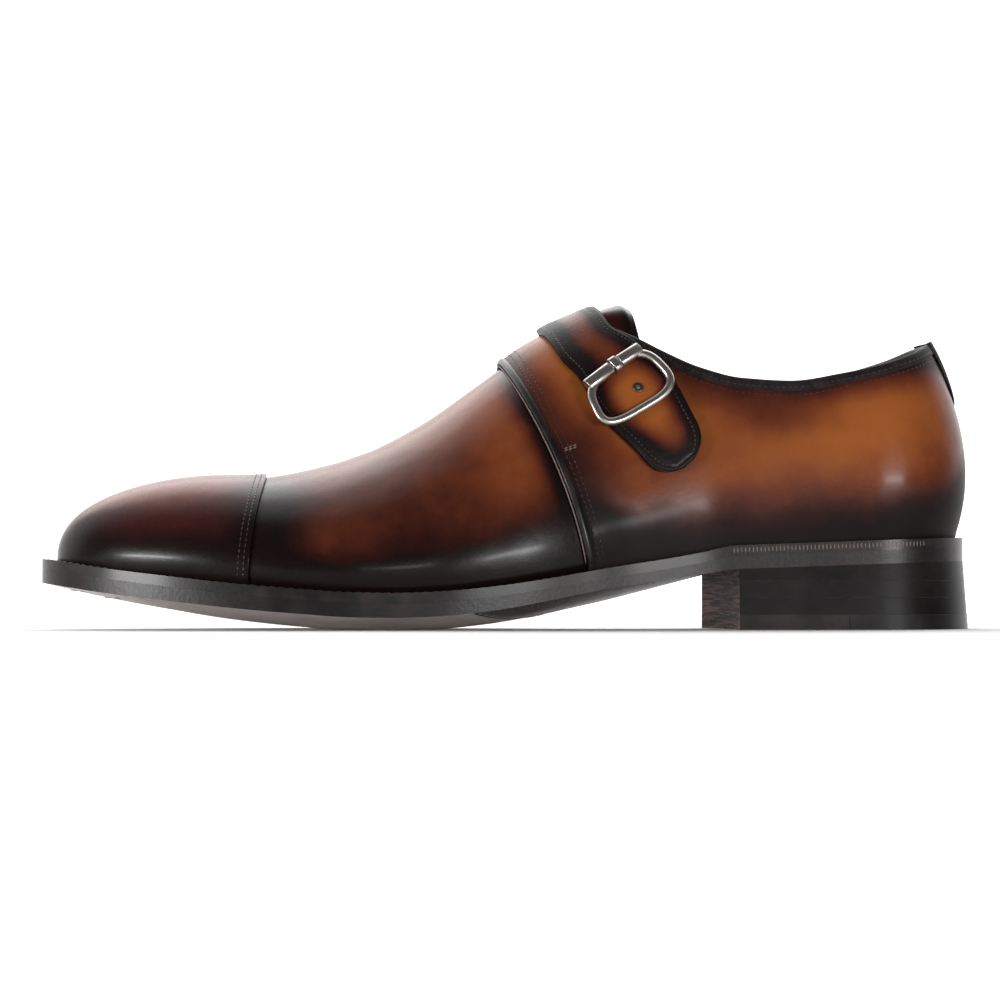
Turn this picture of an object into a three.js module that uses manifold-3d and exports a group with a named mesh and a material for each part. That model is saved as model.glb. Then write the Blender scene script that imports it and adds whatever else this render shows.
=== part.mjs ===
import * as THREE from 'three';
import { mergeVertices } from 'three/addons/utils/BufferGeometryUtils.js';
import Module from 'manifold-3d';

// Left monk strap shoe, in millimetres, +Z up, toe towards -X, lateral side towards -Y.
// Stations: s runs from the back of the heel (0) to the toe tip (LENGTH), y runs from the
// lateral side (negative) to the medial side (positive), and z is the height above the floor.

const wasm = await Module();
wasm.setup();

// Driving dimensions
const LENGTH = 302;
const SEAT_BACK = 1.6;
const HEEL_CENTRE = 36;
const HEEL_ROUND = 2.15;
const TOE_START = 205;
const TOE_ROUND = 2;
const HEEL_BREAST = 82;
const SEAT_HEIGHT = 22.3;
const SEAT_SLOPE = -0.036;
const GAP = 0.3;
const MIDSOLE = 3;
const INSOLE = 2.5;
const WALL = 2.9;
const QUARTER_STEP = 1.7;
const CAP_THICKNESS = 1.2;
const TOE_SQUARE = 2.2;
const TOE_HEIGHT_START = 240;
const BACK_SWELL = 4.5;
const BELLY_SCALE = 27 / 4;
const LEAN_FULLNESS = 2.3;
const STEP_FADE = 16;
const STEP_RAMP = 0.35;
const ARCH_STEPS = 13;
const ARCH_PACKING = 0.92;
const COLLAR_FRONT = 121;
const CUTTER_SIDE = 70;
const CUTTER_TOP = 140;
const STRAP_THICKNESS = 2.3;
const STRAP_ROUND_START = 0.78;
const STRAP_MIDDLE_END = 0.88;
const STRAP_MIDDLE_STEPS = 22;
const TONGUE_THICKNESS = 1.8;
const TONGUE_END = 114;
const TONGUE_SWEEP = 4.5;
const TONGUE_REACH = 0.42;
const TONGUE_FLARE = 3.4;
const TONGUE_CLEAR = 0.75;
const TONGUE_SWEEP_START = 130;
const TONGUE_FREE = { start: 1.5, end: 8 };
const TONGUE_MIDDLE = { start: 0.2, end: 0.7 };
const TONGUE_STATIONS = [150, 142, 134, 128, 124, 121.5, 119.5, 117.5, 115.7, TONGUE_END];
const BACK_STRIP_THICKNESS = 1.2;
const BACK_STRIP_TOP = 92.5;
const BACK_STRIP_LOW = 73;
const BACK_STRIP_WIDE = 10;
const BACK_STRIP_NARROW = 6;
const BACK_STRIP_ROUND_START = 0.75;
const HEEL_HALF_WIDTH = 34.5;
const HEEL_NOTCH = 76;
const NOTCH_START = 25;
const BREAST_SLANT = 2.5;
const BREAST_HOLLOW = 4;
const TOP_PIECE = 4.8;
const LIFT = 5.5;
const JOINT_LATERAL = 45.5;
const JOINT_MEDIAL = 28;
const INSOLE_INSET = 8.4;
const WIRE = 2.5;
const WIRE_ROUND = 3.2;
const BUCKLE_FACING = [0, -0.86, 0.5];
const BORE_GAP = 0.2;
const SLEEVE_LIFT = 0.8;
const SLEEVE_WIDE = 4.4;
const SLEEVE_HIGH = 3.4;
const SLEEVE_FRONT = [-0.95, -0.12];
const SLEEVE_REAR = [0.18, 0.9];
const BEAD = [-0.08, 0.14];
const BEAD_WIDE = 5.4;
const BEAD_HIGH = 4;
const STUD = { s: 112.9, a: -0.559, radius: 1.7, height: 0.7 };
const COLOUR = {
  soleLeather: 0xa08e80,
  blackEdge: 0x1d1817,
  lining: 0x9a6b45,
  stack: 0x5a4638,
  rubber: 0x6a6660,
  tan: 0x8a4a1c,
  burnished: 0x3f1912,
  metal: 0x8b8984,
};

// Plan of the outsole: half widths each side of the axis, the axis shift, and how far the
// welt stands out past the upper.
const PLAN = [
  { s: 0, lateral: 34.5, medial: 34.5, axis: 0, welt: 2.6 },
  { s: 36, lateral: 34.5, medial: 34.5, axis: 0, welt: 2.6 },
  { s: 62, lateral: 34, medial: 32.5, axis: 0, welt: 2.4 },
  { s: 85, lateral: 34, medial: 28.5, axis: 0, welt: 2.2 },
  { s: 110, lateral: 37, medial: 25.5, axis: 0, welt: 2 },
  { s: 130, lateral: 42, medial: 27, axis: 0, welt: 2.2 },
  { s: 155, lateral: 48.5, medial: 35, axis: 0, welt: 3.2 },
  { s: 180, lateral: 52, medial: 44.5, axis: 0, welt: 4.2 },
  { s: 202, lateral: 52.5, medial: 50.5, axis: 0.3, welt: 4.6 },
  { s: 225, lateral: 51.3, medial: 51.3, axis: 1.2, welt: 4.8 },
  { s: 260, lateral: 48.5, medial: 48, axis: 3, welt: 4.8 },
  { s: 302, lateral: 44, medial: 43, axis: 4.5, welt: 4.8 },
];

// Sole from the side: height of the bottom edge, how far the bottom bulges below that edge,
// how much the medial edge is lifted, and the thickness of the outsole's edge.
const SOLE = [
  { s: 60, edge: 20.14, crown: 0, lift: 0, thickness: 4.3 },
  { s: 82, edge: 19.35, crown: 0, lift: 0, thickness: 4.2 },
  { s: 94, edge: 17.5, crown: 1.4, lift: 0.8, thickness: 3.6 },
  { s: 110, edge: 15.2, crown: 3.4, lift: 2.2, thickness: 3.2 },
  { s: 125, edge: 12.9, crown: 4.8, lift: 3, thickness: 3.2 },
  { s: 142, edge: 9.6, crown: 5.2, lift: 2.4, thickness: 3.6 },
  { s: 160, edge: 6.4, crown: 5, lift: 1.2, thickness: 4.2 },
  { s: 178, edge: 4.5, crown: 4.7, lift: 0.3, thickness: 4.4 },
  { s: 192, edge: 4, crown: 4.5, lift: 0, thickness: 4.4 },
  { s: 206, edge: 4.2, crown: 4.4, lift: 0, thickness: 4.4 },
  { s: 221, edge: 5.2, crown: 4.2, lift: 0, thickness: 4.4 },
  { s: 240, edge: 6.8, crown: 3.7, lift: 0, thickness: 4.4 },
  { s: 263, edge: 9.4, crown: 2.6, lift: 0, thickness: 4.4 },
  { s: 283, edge: 11.9, crown: 1.3, lift: 0, thickness: 4.5 },
  { s: 302, edge: 15, crown: 0, lift: 0, thickness: 4.5 },
];

// Cross sections of the last: height of the ridge above the feather line, sideways place of
// the ridge, squareness of each side's arch, and the swell of each side's wall.
const LAST = [
  { s: 36, height: 80, ridge: 0, latSquare: 2.35, medSquare: 2.35, latSwell: 3, medSwell: 3 },
  { s: 60, height: 81.5, ridge: 0.5, latSquare: 2.45, medSquare: 2.45, latSwell: 2, medSwell: 1.5 },
  { s: 85, height: 82.5, ridge: 2, latSquare: 2.35, medSquare: 2.4, latSwell: 1.2, medSwell: 0.5 },
  { s: 112, height: 84.9, ridge: 3.5, latSquare: 2.05, medSquare: 2.2, latSwell: 1.5, medSwell: 0.5 },
  { s: 134, height: 80.8, ridge: 4.5, latSquare: 1.9, medSquare: 2, latSwell: 1.8, medSwell: 1 },
  { s: 147, height: 76.2, ridge: 5, latSquare: 1.86, medSquare: 1.95, latSwell: 2, medSwell: 1.3 },
  { s: 160, height: 67.4, ridge: 5.5, latSquare: 1.86, medSquare: 1.93, latSwell: 2.2, medSwell: 1.8 },
  { s: 180, height: 54.2, ridge: 6, latSquare: 1.9, medSquare: 1.93, latSwell: 2.4, medSwell: 2.4 },
  { s: 200, height: 44.6, ridge: 6, latSquare: 1.98, medSquare: 1.98, latSwell: 2.4, medSwell: 2.6 },
  { s: 226, height: 37.2, ridge: 5.5, latSquare: 2.1, medSquare: 2.1, latSwell: 2.2, medSwell: 2.3 },
  { s: 252, height: 34.1, ridge: 5, latSquare: 2.25, medSquare: 2.25, latSwell: 1.8, medSwell: 1.8 },
  { s: 277, height: 31.5, ridge: 4.8, latSquare: 2.3, medSquare: 2.3, latSwell: 1.2, medSwell: 1.2 },
  { s: 302, height: 29.5, ridge: 4.5, latSquare: 2.3, medSquare: 2.3, latSwell: 0, medSwell: 0 },
];

// Lean of the stations: how far forward a seam that starts at this station on the feather
// line has come when it reaches the ridge, and how late on its way up it bows forward.
const LEAN = [
  { s: 36, lean: 0, bow: 1.35 },
  { s: 80, lean: 4, bow: 1.35 },
  { s: 105, lean: 14, bow: 1.35 },
  { s: 130, lean: 24, bow: 1.35 },
  { s: 160, lean: 19, bow: 1.35 },
  { s: 200, lean: 5, bow: 1.7 },
  { s: 237, lean: -7.5, bow: 2 },
  { s: 262, lean: -4, bow: 2 },
  { s: 297, lean: 0, bow: 2 },
];
const QUARTER_EDGE = 130;
const CAP_EDGE = 237;

// Strap edges from the medial end (t = -1) to the lateral tip (t = 1), as station and place
// on the arch, which is negative on the lateral side and zero at the ridge.
const STRAP = [
  { t: -1, frontS: 109.5, frontA: 0.77, backS: 92.5, backA: 0.69 },
  { t: -0.8, frontS: 118, frontA: 0.655, backS: 100.2, backA: 0.57 },
  { t: -0.65, frontS: 124.8, frontA: 0.55, backS: 106.4, backA: 0.475 },
  { t: -0.5, frontS: 130.6, frontA: 0.44, backS: 112.6, backA: 0.375 },
  { t: -0.3, frontS: 136.2, frontA: 0.285, backS: 119.4, backA: 0.245 },
  { t: 0, frontS: 140.5, frontA: 0, backS: 122.5, backA: 0 },
  { t: 0.3, frontS: 136.6, frontA: -0.31, backS: 119.8, backA: -0.26 },
  { t: 0.5, frontS: 131.2, frontA: -0.445, backS: 111, backA: -0.405 },
  { t: 0.65, frontS: 125.2, frontA: -0.605, backS: 102, backA: -0.535 },
  { t: 0.8, frontS: 111.6, frontA: -0.757, backS: 94.6, backA: -0.675 },
  { t: 1, frontS: 105.8, frontA: -0.826, backS: 89.3, backA: -0.745 },
];

// Corners of the buckle on the lateral side.
const BUCKLE = {
  topFront: { s: 129.6, a: -0.515 },
  topBack: { s: 110.6, a: -0.44 },
  lowBack: { s: 99.6, a: -0.585 },
  lowFront: { s: 124.5, a: -0.662 },
};

// Top line of the collar from the side.
const COLLAR = [
  { s: -20, lateral: 95, medial: 95 },
  { s: 4, lateral: 94.8, medial: 94.8 },
  { s: 12.5, lateral: 93, medial: 93 },
  { s: 21, lateral: 89, medial: 89.6 },
  { s: 32, lateral: 85, medial: 86.4 },
  { s: 46, lateral: 81.5, medial: 83.5 },
  { s: 63, lateral: 78.9, medial: 81 },
  { s: 79, lateral: 80, medial: 81.5 },
  { s: 92, lateral: 83.6, medial: 84.5 },
  { s: 104, lateral: 89.3, medial: 89.8 },
  { s: 110, lateral: 92.8, medial: 93 },
  { s: 121, lateral: 98.5, medial: 98.5 },
];

// Smooth curve through one column of a table, without overshoot.
function curve(table, column, along) {
  const xs = table.map((row) => row[along]);
  const ys = table.map((row) => row[column]);
  const secants = xs.slice(1).map((x, i) => (ys[i + 1] - ys[i]) / (x - xs[i]));
  const slopes = xs.map((x, i) => {
    const before = secants[Math.max(i - 1, 0)];
    const after = secants[Math.min(i, secants.length - 1)];
    return before * after <= 0 ? 0 : (2 * before * after) / (before + after);
  });
  return (x) => {
    const inside = THREE.MathUtils.clamp(x, xs[0], xs[xs.length - 1]);
    let i = 0;
    while (i < xs.length - 2 && inside > xs[i + 1]) {
      i += 1;
    }
    const h = xs[i + 1] - xs[i];
    const t = (inside - xs[i]) / h;
    const start = (1 + 2 * t) * (1 - t) ** 2 * ys[i] + t * (1 - t) ** 2 * h * slopes[i];
    const end = t * t * (3 - 2 * t) * ys[i + 1] + t * t * (t - 1) * h * slopes[i + 1];
    return start + end;
  };
}

function columnsOf(table, along = 's') {
  const columns = Object.keys(table[0]).filter((column) => column !== along);
  return Object.fromEntries(columns.map((column) => [column, curve(table, column, along)]));
}
const plan = columnsOf(PLAN);
const sole = columnsOf(SOLE);
const last = columnsOf(LAST);
const lean = columnsOf(LEAN);
const collar = columnsOf(COLLAR);
const strap = columnsOf(STRAP, 't');

// Rounded end of an outline: 1 until t passes 0, then a superellipse down to 0 at t = 1.
function roundOff(t, power) {
  const inside = THREE.MathUtils.clamp(t, 0, 1);
  return (1 - inside ** power) ** (1 / power);
}

const place = (s, y, z) => new THREE.Vector3(LENGTH / 2 - s, y, z);

// Sideways place of the outline at station s, drawn in by inset.
function outline(s, side, inset) {
  const half = side < 0 ? plan.lateral(s) : plan.medial(s);
  const toe = roundOff((s - TOE_START) / (LENGTH - inset - TOE_START), TOE_ROUND);
  const heel = roundOff((HEEL_CENTRE - s) / (HEEL_CENTRE - SEAT_BACK - inset), HEEL_ROUND);
  return plan.axis(s) + side * (half - inset) * toe * heel;
}

// Height of the bottom edge of the outsole. Over the heel it is a sloping plane.
function edgeHeight(s) {
  return s < HEEL_BREAST ? SEAT_HEIGHT + SEAT_SLOPE * s : sole.edge(s);
}
const overSeat = (s, value) => (s < HEEL_BREAST ? 0 : value);

// t runs from -1 at the lateral edge to 1 at the medial edge.
function outsoleBottom(s, t) {
  const lift = t > 0 ? overSeat(s, sole.lift(s)) * t * t : 0;
  const crown = overSeat(s, sole.crown(s)) * (1 - t * t);
  return Math.max(edgeHeight(s) + lift - crown, 0);
}
function outsoleTop(s, t) {
  const lift = t > 0 ? overSeat(s, sole.lift(s)) * t * t : 0;
  return edgeHeight(s) + lift + sole.thickness(s);
}
const midsoleBottom = (s, t) => outsoleTop(s, t) + GAP;
const midsoleTop = (s, t) => midsoleBottom(s, t) + MIDSOLE;

// Closed body between two grids of points with the same rows and columns. The borders that
// are named are walled in; the others meet a neighbour or shrink to a point.
function solidBetween(outer, inner, borders = ['first', 'last', 'low', 'high']) {
  const rows = outer.length;
  const cols = outer[0].length;
  const positions = [];
  const quad = (a, b, c, d) => {
    for (const corner of [a, b, c, a, c, d]) positions.push(corner.x, corner.y, corner.z);
  };
  for (let i = 0; i < rows - 1; i += 1) {
    for (let j = 0; j < cols - 1; j += 1) {
      quad(outer[i][j], outer[i + 1][j], outer[i + 1][j + 1], outer[i][j + 1]);
      quad(inner[i][j], inner[i][j + 1], inner[i + 1][j + 1], inner[i + 1][j]);
    }
  }
  for (let i = 0; i < rows - 1; i += 1) {
    const end = cols - 1;
    if (borders.includes('low')) quad(outer[i][0], inner[i][0], inner[i + 1][0], outer[i + 1][0]);
    if (borders.includes('high')) {
      quad(outer[i][end], outer[i + 1][end], inner[i + 1][end], inner[i][end]);
    }
  }
  for (let j = 0; j < cols - 1; j += 1) {
    const end = rows - 1;
    if (borders.includes('first')) quad(outer[0][j], outer[0][j + 1], inner[0][j + 1], inner[0][j]);
    if (borders.includes('last')) {
      quad(outer[end][j], inner[end][j], inner[end][j + 1], outer[end][j + 1]);
    }
  }
  return weld(positions);
}

// Indexed geometry with shared vertices, no collapsed triangles, and its faces outward.
function weld(positions) {
  const soup = new THREE.BufferGeometry();
  soup.setAttribute('position', new THREE.Float32BufferAttribute(positions, 3));
  const merged = mergeVertices(soup, 1e-3);
  const index = merged.index.array;
  const kept = [];
  for (let i = 0; i < index.length; i += 3) {
    const [a, b, c] = [index[i], index[i + 1], index[i + 2]];
    if (a !== b && b !== c && c !== a) kept.push(a, b, c);
  }
  if (volumeOf(merged.attributes.position, kept) < 0) kept.reverse();
  merged.setIndex(kept);
  return merged;
}

function volumeOf(points, index) {
  let volume = 0;
  for (let i = 0; i < index.length; i += 3) {
    const corner = (k) => new THREE.Vector3().fromBufferAttribute(points, index[i + k]);
    const [a, b, c] = [corner(0), corner(1), corner(2)];
    volume += a.dot(b.cross(c)) / 6;
  }
  return volume;
}

// Values from a to b, packed closer together towards both ends.
function cosineSteps(a, b, count) {
  const step = (i) => (1 - Math.cos((Math.PI * i) / count)) / 2;
  return Array.from({ length: count + 1 }, (_, i) => a + (b - a) * step(i));
}

// Sole layer between two height functions, inside the outline drawn in by inset.
function soleLayer(bottom, top, inset, rowCount, columnCount) {
  const rows = cosineSteps(SEAT_BACK + inset, LENGTH - inset, rowCount);
  const ts = Array.from({ length: columnCount + 1 }, (_, j) => (2 * j) / columnCount - 1);
  const grid = (height) => rows.map((s) => ts.map((t) => {
    const lateral = outline(s, -1, inset);
    const medial = outline(s, 1, inset);
    const axis = plan.axis(s);
    const y = t < 0 ? axis + (axis - lateral) * t : axis + (medial - axis) * t;
    return place(s, y, height(s, t));
  }));
  return solidBetween(grid(top), grid(bottom));
}

// Point of the last at station u, where v runs from 0 at the feather line to 1 at the ridge.
// From u = HEEL_CENTRE down to 0 the section planes turn about a vertical axis to the back.
function lastPoint(u, v, side) {
  const square = side < 0 ? last.latSquare(u) : last.medSquare(u);
  const swell = side < 0 ? last.latSwell(u) : last.medSwell(u);
  const angle = (v * Math.PI) / 2;
  const reach = (Math.cos(angle) ** square + Math.sin(angle) ** square) ** (-1 / square);
  const across = Math.cos(angle) * reach;
  const up = Math.sin(angle) * reach;
  const turning = u < HEEL_CENTRE;
  const turn = turning ? ((u / HEEL_CENTRE) * Math.PI) / 2 : Math.PI / 2;
  const s = turning ? backStation(turn) : u;
  const welt = plan.welt(s);
  const foot = outline(s, side, welt);
  const feather = midsoleTop(s, -1) + GAP;
  const lift = midsoleTop(s, side) + GAP - feather;
  const toe = roundOff((u - TOE_HEIGHT_START) / (LENGTH - welt - TOE_HEIGHT_START), TOE_SQUARE);
  const z = feather + last.height(u) * toe * up + lift * (1 - up);
  const belly = BELLY_SCALE * up * (1 - up) ** 2 * toe;
  if (turning) {
    const radius = Math.hypot(HEEL_CENTRE - s, foot);
    const fade = Math.sin(turn) ** 2;
    const radial = radius * across + THREE.MathUtils.lerp(BACK_SWELL, swell, fade) * belly;
    return place(HEEL_CENTRE - Math.cos(turn) * radial, side * Math.sin(turn) * radial, z);
  }
  const ridge = THREE.MathUtils.lerp(plan.axis(u), last.ridge(u), toe);
  return place(u, ridge + (foot - ridge) * across + side * swell * belly, z);
}

// Station of the feather line's heel end, seen from the heel centre at this turn.
function backStation(turn) {
  let low = SEAT_BACK + plan.welt(0);
  let high = HEEL_CENTRE;
  for (let i = 0; i < 40; i += 1) {
    const s = (low + high) / 2;
    const seen = Math.atan2(outline(s, 1, plan.welt(s)), HEEL_CENTRE - s);
    if (seen < turn) {
      low = s;
    } else {
      high = s;
    }
  }
  return (low + high) / 2;
}

const TOE_TIP = LENGTH - plan.welt(LENGTH);

// Outward unit normal of the last.
function lastNormal(u, v, side) {
  if (u > TOE_TIP - 0.01) return new THREE.Vector3(-1, 0, 0);
  if (u <= HEEL_CENTRE && v > 0.999) return new THREE.Vector3(0, 0, 1);
  const du = 0.05;
  const dv = 0.002;
  const u0 = Math.max(u - du, 0);
  const u1 = Math.min(u + du, TOE_TIP);
  const along = lastPoint(u1, v, side).sub(lastPoint(u0, v, side));
  const v0 = Math.max(v - dv, 0);
  const v1 = Math.min(v + dv, 1);
  const rise = v > 0.999
    ? new THREE.Vector3(0, -side, 0)
    : lastPoint(u, v1, side).sub(lastPoint(u, v0, side));
  const normal = along.cross(rise).normalize();
  return normal.multiplyScalar(side);
}

// Point of the last moved out along its normal; the feather line keeps its height.
function skinPoint(u, v, side, offset) {
  const point = lastPoint(u, v, side);
  const moved = point.clone().addScaledVector(lastNormal(u, v, side), offset);
  if (v === 0) moved.z = point.z;
  return moved;
}

// Station reached at height v by a seam that starts at this station on the feather line.
const leaned = (station, v) => (
  station + lean.lean(station) * (1 - (1 - v ** lean.bow(station)) ** LEAN_FULLNESS)
);

// How far the upper's outer face lies from the last: the vamp is lower beside the quarter and
// the cap, whose edges stand over it, and the upper is cut back under the cap.
function outerOffset(station) {
  if (station > CAP_EDGE) return -(CAP_THICKNESS + GAP);
  if (station < QUARTER_EDGE) return 0;
  const nearQuarter = QUARTER_STEP * Math.exp(-(station - QUARTER_EDGE) / STEP_FADE);
  const nearCap = CAP_THICKNESS * Math.exp(-(CAP_EDGE - station) / STEP_FADE);
  return -Math.max(nearQuarter, nearCap);
}

// Steps up the arch, and the stations of the sections: under the cap, down the vamp, along the
// quarters, and round the back.
const ARCH = Array.from({ length: ARCH_STEPS + 1 }, (_, j) => (j / ARCH_STEPS) ** ARCH_PACKING);
const CAP_STATIONS = [
  TOE_TIP, 296.6, 295.2, 292.8, 289.4, 285, 279.5, 273, 265.5, 257, 246.5, CAP_EDGE + STEP_RAMP,
];
const VAMP_STATIONS = [
  CAP_EDGE - STEP_RAMP, 228, 217, 205, 193, 181, 170, 160, 151, 143, 136, QUARTER_EDGE + STEP_RAMP,
];
const REAR_STATIONS = [QUARTER_EDGE - STEP_RAMP, 120, 110, 101, 92, 82, 71, 59, 47, HEEL_CENTRE];
const FAN_STATIONS = [30, 24, 18, 12, 6];

function upperSolid() {
  const front = [...CAP_STATIONS, ...VAMP_STATIONS, ...REAR_STATIONS, ...FAN_STATIONS];
  const columns = [
    ...front.map((station) => ({ station, side: -1 })),
    { station: 0, side: -1 },
    ...front.slice().reverse().map((station) => ({ station, side: 1 })),
  ];
  const grid = (offsetAt) => columns.map(({ station, side }) => ARCH.map(
    (v) => skinPoint(leaned(station, v), v, side, offsetAt(station)),
  ));
  const shell = solidBetween(grid(outerOffset), grid(() => -WALL), ['low']);
  return cutAway(shell, collarCutter());
}

// Everything above the collar's top line.
function collarCutter() {
  const stations = COLLAR.flatMap((row, i) => {
    const next = COLLAR[i + 1];
    return next ? [row.s, (row.s + next.s) / 2] : [row.s];
  });
  const sides = [-1, 0, 1];
  const lower = stations.map((s) => sides.map((side) => {
    const height = THREE.MathUtils.lerp(collar.lateral(s), collar.medial(s), (side + 1) / 2);
    return place(s, side * CUTTER_SIDE, height);
  }));
  const upper = stations.map((s) => sides.map((side) => place(s, side * CUTTER_SIDE, CUTTER_TOP)));
  return solidBetween(upper, lower);
}

function toManifold(geometry) {
  return new wasm.Manifold(new wasm.Mesh({
    numProp: 3,
    vertProperties: new Float32Array(geometry.attributes.position.array),
    triVerts: new Uint32Array(geometry.index.array),
  }));
}

function cutAway(body, tool) {
  const cut = toManifold(body).subtract(toManifold(tool)).getMesh();
  const geometry = new THREE.BufferGeometry();
  geometry.setAttribute('position', new THREE.BufferAttribute(cut.vertProperties, 3));
  geometry.setIndex(new THREE.BufferAttribute(cut.triVerts, 1));
  return geometry;
}

function toeCapSolid() {
  const arch = [
    ...ARCH.map((v) => ({ v, side: -1 })),
    ...ARCH.slice(0, -1).reverse().map((v) => ({ v, side: 1 })),
  ];
  const grid = (offset) => CAP_STATIONS.map((station) => arch.map(
    ({ v, side }) => skinPoint(leaned(station, v), v, side, offset),
  ));
  return solidBetween(grid(0), grid(-CAP_THICKNESS));
}

// Arch place a runs from -1 (lateral feather line) over 0 (ridge) to 1 (medial feather line).
function archPoint(s, a, offset) {
  return skinPoint(s, 1 - Math.abs(a), a < 0 ? -1 : 1, offset);
}

// Strap over the instep: front and back edges from the medial end (t = -1) to the tip (t = 1).
function strapSolid() {
  const end = cosineSteps(STRAP_ROUND_START, 1, 10).slice(5);
  const middle = Array.from(
    { length: STRAP_MIDDLE_STEPS + 1 },
    (_, i) => ((2 * i) / STRAP_MIDDLE_STEPS - 1) * STRAP_MIDDLE_END,
  );
  const along = [...end.map((t) => -t).reverse(), ...middle, ...end];
  const acrossSteps = cosineSteps(0, 1, 6);
  const grid = (offset) => along.map((t) => {
    const frontS = strap.frontS(t);
    const backS = strap.backS(t);
    const frontA = strap.frontA(t);
    const backA = strap.backA(t);
    const width = roundOff((Math.abs(t) - STRAP_ROUND_START) / (1 - STRAP_ROUND_START), 2);
    return acrossSteps.map((w) => {
      const mix = 0.5 + (w - 0.5) * width;
      const s = THREE.MathUtils.lerp(backS, frontS, mix);
      const a = THREE.MathUtils.lerp(backA, frontA, mix);
      return archPoint(s, a, offset);
    });
  });
  return solidBetween(grid(GAP + STRAP_THICKNESS), grid(GAP));
}

// Tongue: lies inside the wall, comes out behind the strap and flares up at its end.
function tongueSolid() {
  const { smoothstep } = THREE.MathUtils;
  const arch = Array.from({ length: 13 }, (_, j) => (j / 6 - 1) * TONGUE_REACH);
  const grid = (depth) => TONGUE_STATIONS.map((s) => arch.map((a) => {
    const side = Math.abs(a) / TONGUE_REACH;
    const sweep = TONGUE_SWEEP * side * side * smoothstep(-s, -TONGUE_SWEEP_START, -TONGUE_END);
    const free = smoothstep(COLLAR_FRONT - s + sweep, TONGUE_FREE.start, TONGUE_FREE.end);
    const middle = 1 - smoothstep(side, TONGUE_MIDDLE.start, TONGUE_MIDDLE.end);
    const rise = TONGUE_FLARE * free * middle;
    return archPoint(s - sweep, a, -(WALL + TONGUE_CLEAR) + rise - depth);
  }));
  return solidBetween(grid(0), grid(TONGUE_THICKNESS));
}

// Strip over the back seam, from the top line down, rounded at its lower end.
function backStripSolid() {
  const rows = cosineSteps(0, 1, 8);
  const cols = [-1, -0.66, -0.33, 0, 0.33, 0.66, 1];
  const topArch = archAtHeight(0, BACK_STRIP_TOP);
  const lowArch = archAtHeight(0, BACK_STRIP_LOW);
  const grid = (offset) => rows.map((t) => cols.map((c) => {
    const width = THREE.MathUtils.lerp(BACK_STRIP_WIDE, BACK_STRIP_NARROW, t)
      * roundOff((t - BACK_STRIP_ROUND_START) / (1 - BACK_STRIP_ROUND_START), 2);
    const v = THREE.MathUtils.lerp(topArch, lowArch, t);
    return skinPoint(Math.abs(c) * width, v, c < 0 ? -1 : 1, offset);
  }));
  return solidBetween(grid(GAP + BACK_STRIP_THICKNESS), grid(GAP));
}

// Height fraction v at which the last reaches height z at station u.
function archAtHeight(u, z) {
  let low = 0;
  let high = 1;
  for (let i = 0; i < 40; i += 1) {
    const v = (low + high) / 2;
    if (lastPoint(u, v, -1).z < z) {
      low = v;
    } else {
      high = v;
    }
  }
  return (low + high) / 2;
}

// Ring of heel outline points at height z, from the lateral breast corner round the back to
// the notch at the medial corner, then along the hollow breast.
function heelRing(z, fromLateral = HEEL_BREAST - 1, toMedial = HEEL_NOTCH, withBreast = true) {
  const inset = THREE.MathUtils.lerp(-SEAT_BACK, 0, z / SEAT_HEIGHT);
  const sides = (from, side) => (
    cosineSteps(SEAT_BACK + inset, from, 12).map((s) => [s, outline(s, side, inset)])
  );
  const ring = [...sides(fromLateral, -1).reverse(), ...sides(toMedial, 1).slice(1)];
  if (withBreast) {
    const steps = 8;
    const start = outline(fromLateral, -1, inset);
    for (let i = 0; i < steps; i += 1) {
      const y = THREE.MathUtils.lerp(NOTCH_START, start, i / steps);
      const bow = 1 - ((y - start) / (NOTCH_START - start) * 2 - 1) ** 2;
      ring.push([fromLateral - BREAST_HOLLOW * bow + BREAST_SLANT * (1 - i / steps), y]);
    }
  }
  return ring;
}

// Body between two rings of the same count, capped flat at both ends.
function loft(lower, upper) {
  const low = lower.map(([s, y, z]) => place(s, y, z));
  const high = upper.map(([s, y, z]) => place(s, y, z));
  if (THREE.ShapeUtils.isClockWise(low)) {
    low.reverse();
    high.reverse();
  }
  const contour = low.map(({ x, y }) => new THREE.Vector2(x, y));
  const faces = THREE.ShapeUtils.triangulateShape(contour, []);
  const positions = [];
  const triangle = (a, b, c) => {
    for (const corner of [a, b, c]) positions.push(corner.x, corner.y, corner.z);
  };
  for (const [a, b, c] of faces) {
    triangle(low[c], low[b], low[a]);
    triangle(high[a], high[b], high[c]);
  }
  low.forEach((point, i) => {
    const next = (i + 1) % low.length;
    triangle(point, low[next], high[next]);
    triangle(point, high[next], high[i]);
  });
  return weld(positions);
}

function heelLayer(bottomZ, topZ, ...cut) {
  const ringAt = (height) => heelRing(height(0), ...cut).map(([s, y]) => [s, y, height(s)]);
  return loft(ringAt(() => bottomZ), ringAt(topZ));
}

// Front part of the top piece, with a slanting joint to the rubber quarter behind it.
function frontTopPiece() {
  const ringAt = (z) => {
    const ring = heelRing(z);
    const joint = (y) => THREE.MathUtils.mapLinear(
      y, -HEEL_HALF_WIDTH, HEEL_HALF_WIDTH, JOINT_LATERAL, JOINT_MEDIAL,
    );
    return ring.map(([s, y]) => [Math.max(s, joint(y) + GAP), y, z]);
  };
  return loft(ringAt(0), ringAt(TOP_PIECE));
}

function rearTopPiece() {
  const ringAt = (z) => heelRing(z, JOINT_LATERAL, JOINT_MEDIAL, false).map(([s, y]) => [s, y, z]);
  return loft(ringAt(0), ringAt(TOP_PIECE));
}

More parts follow.
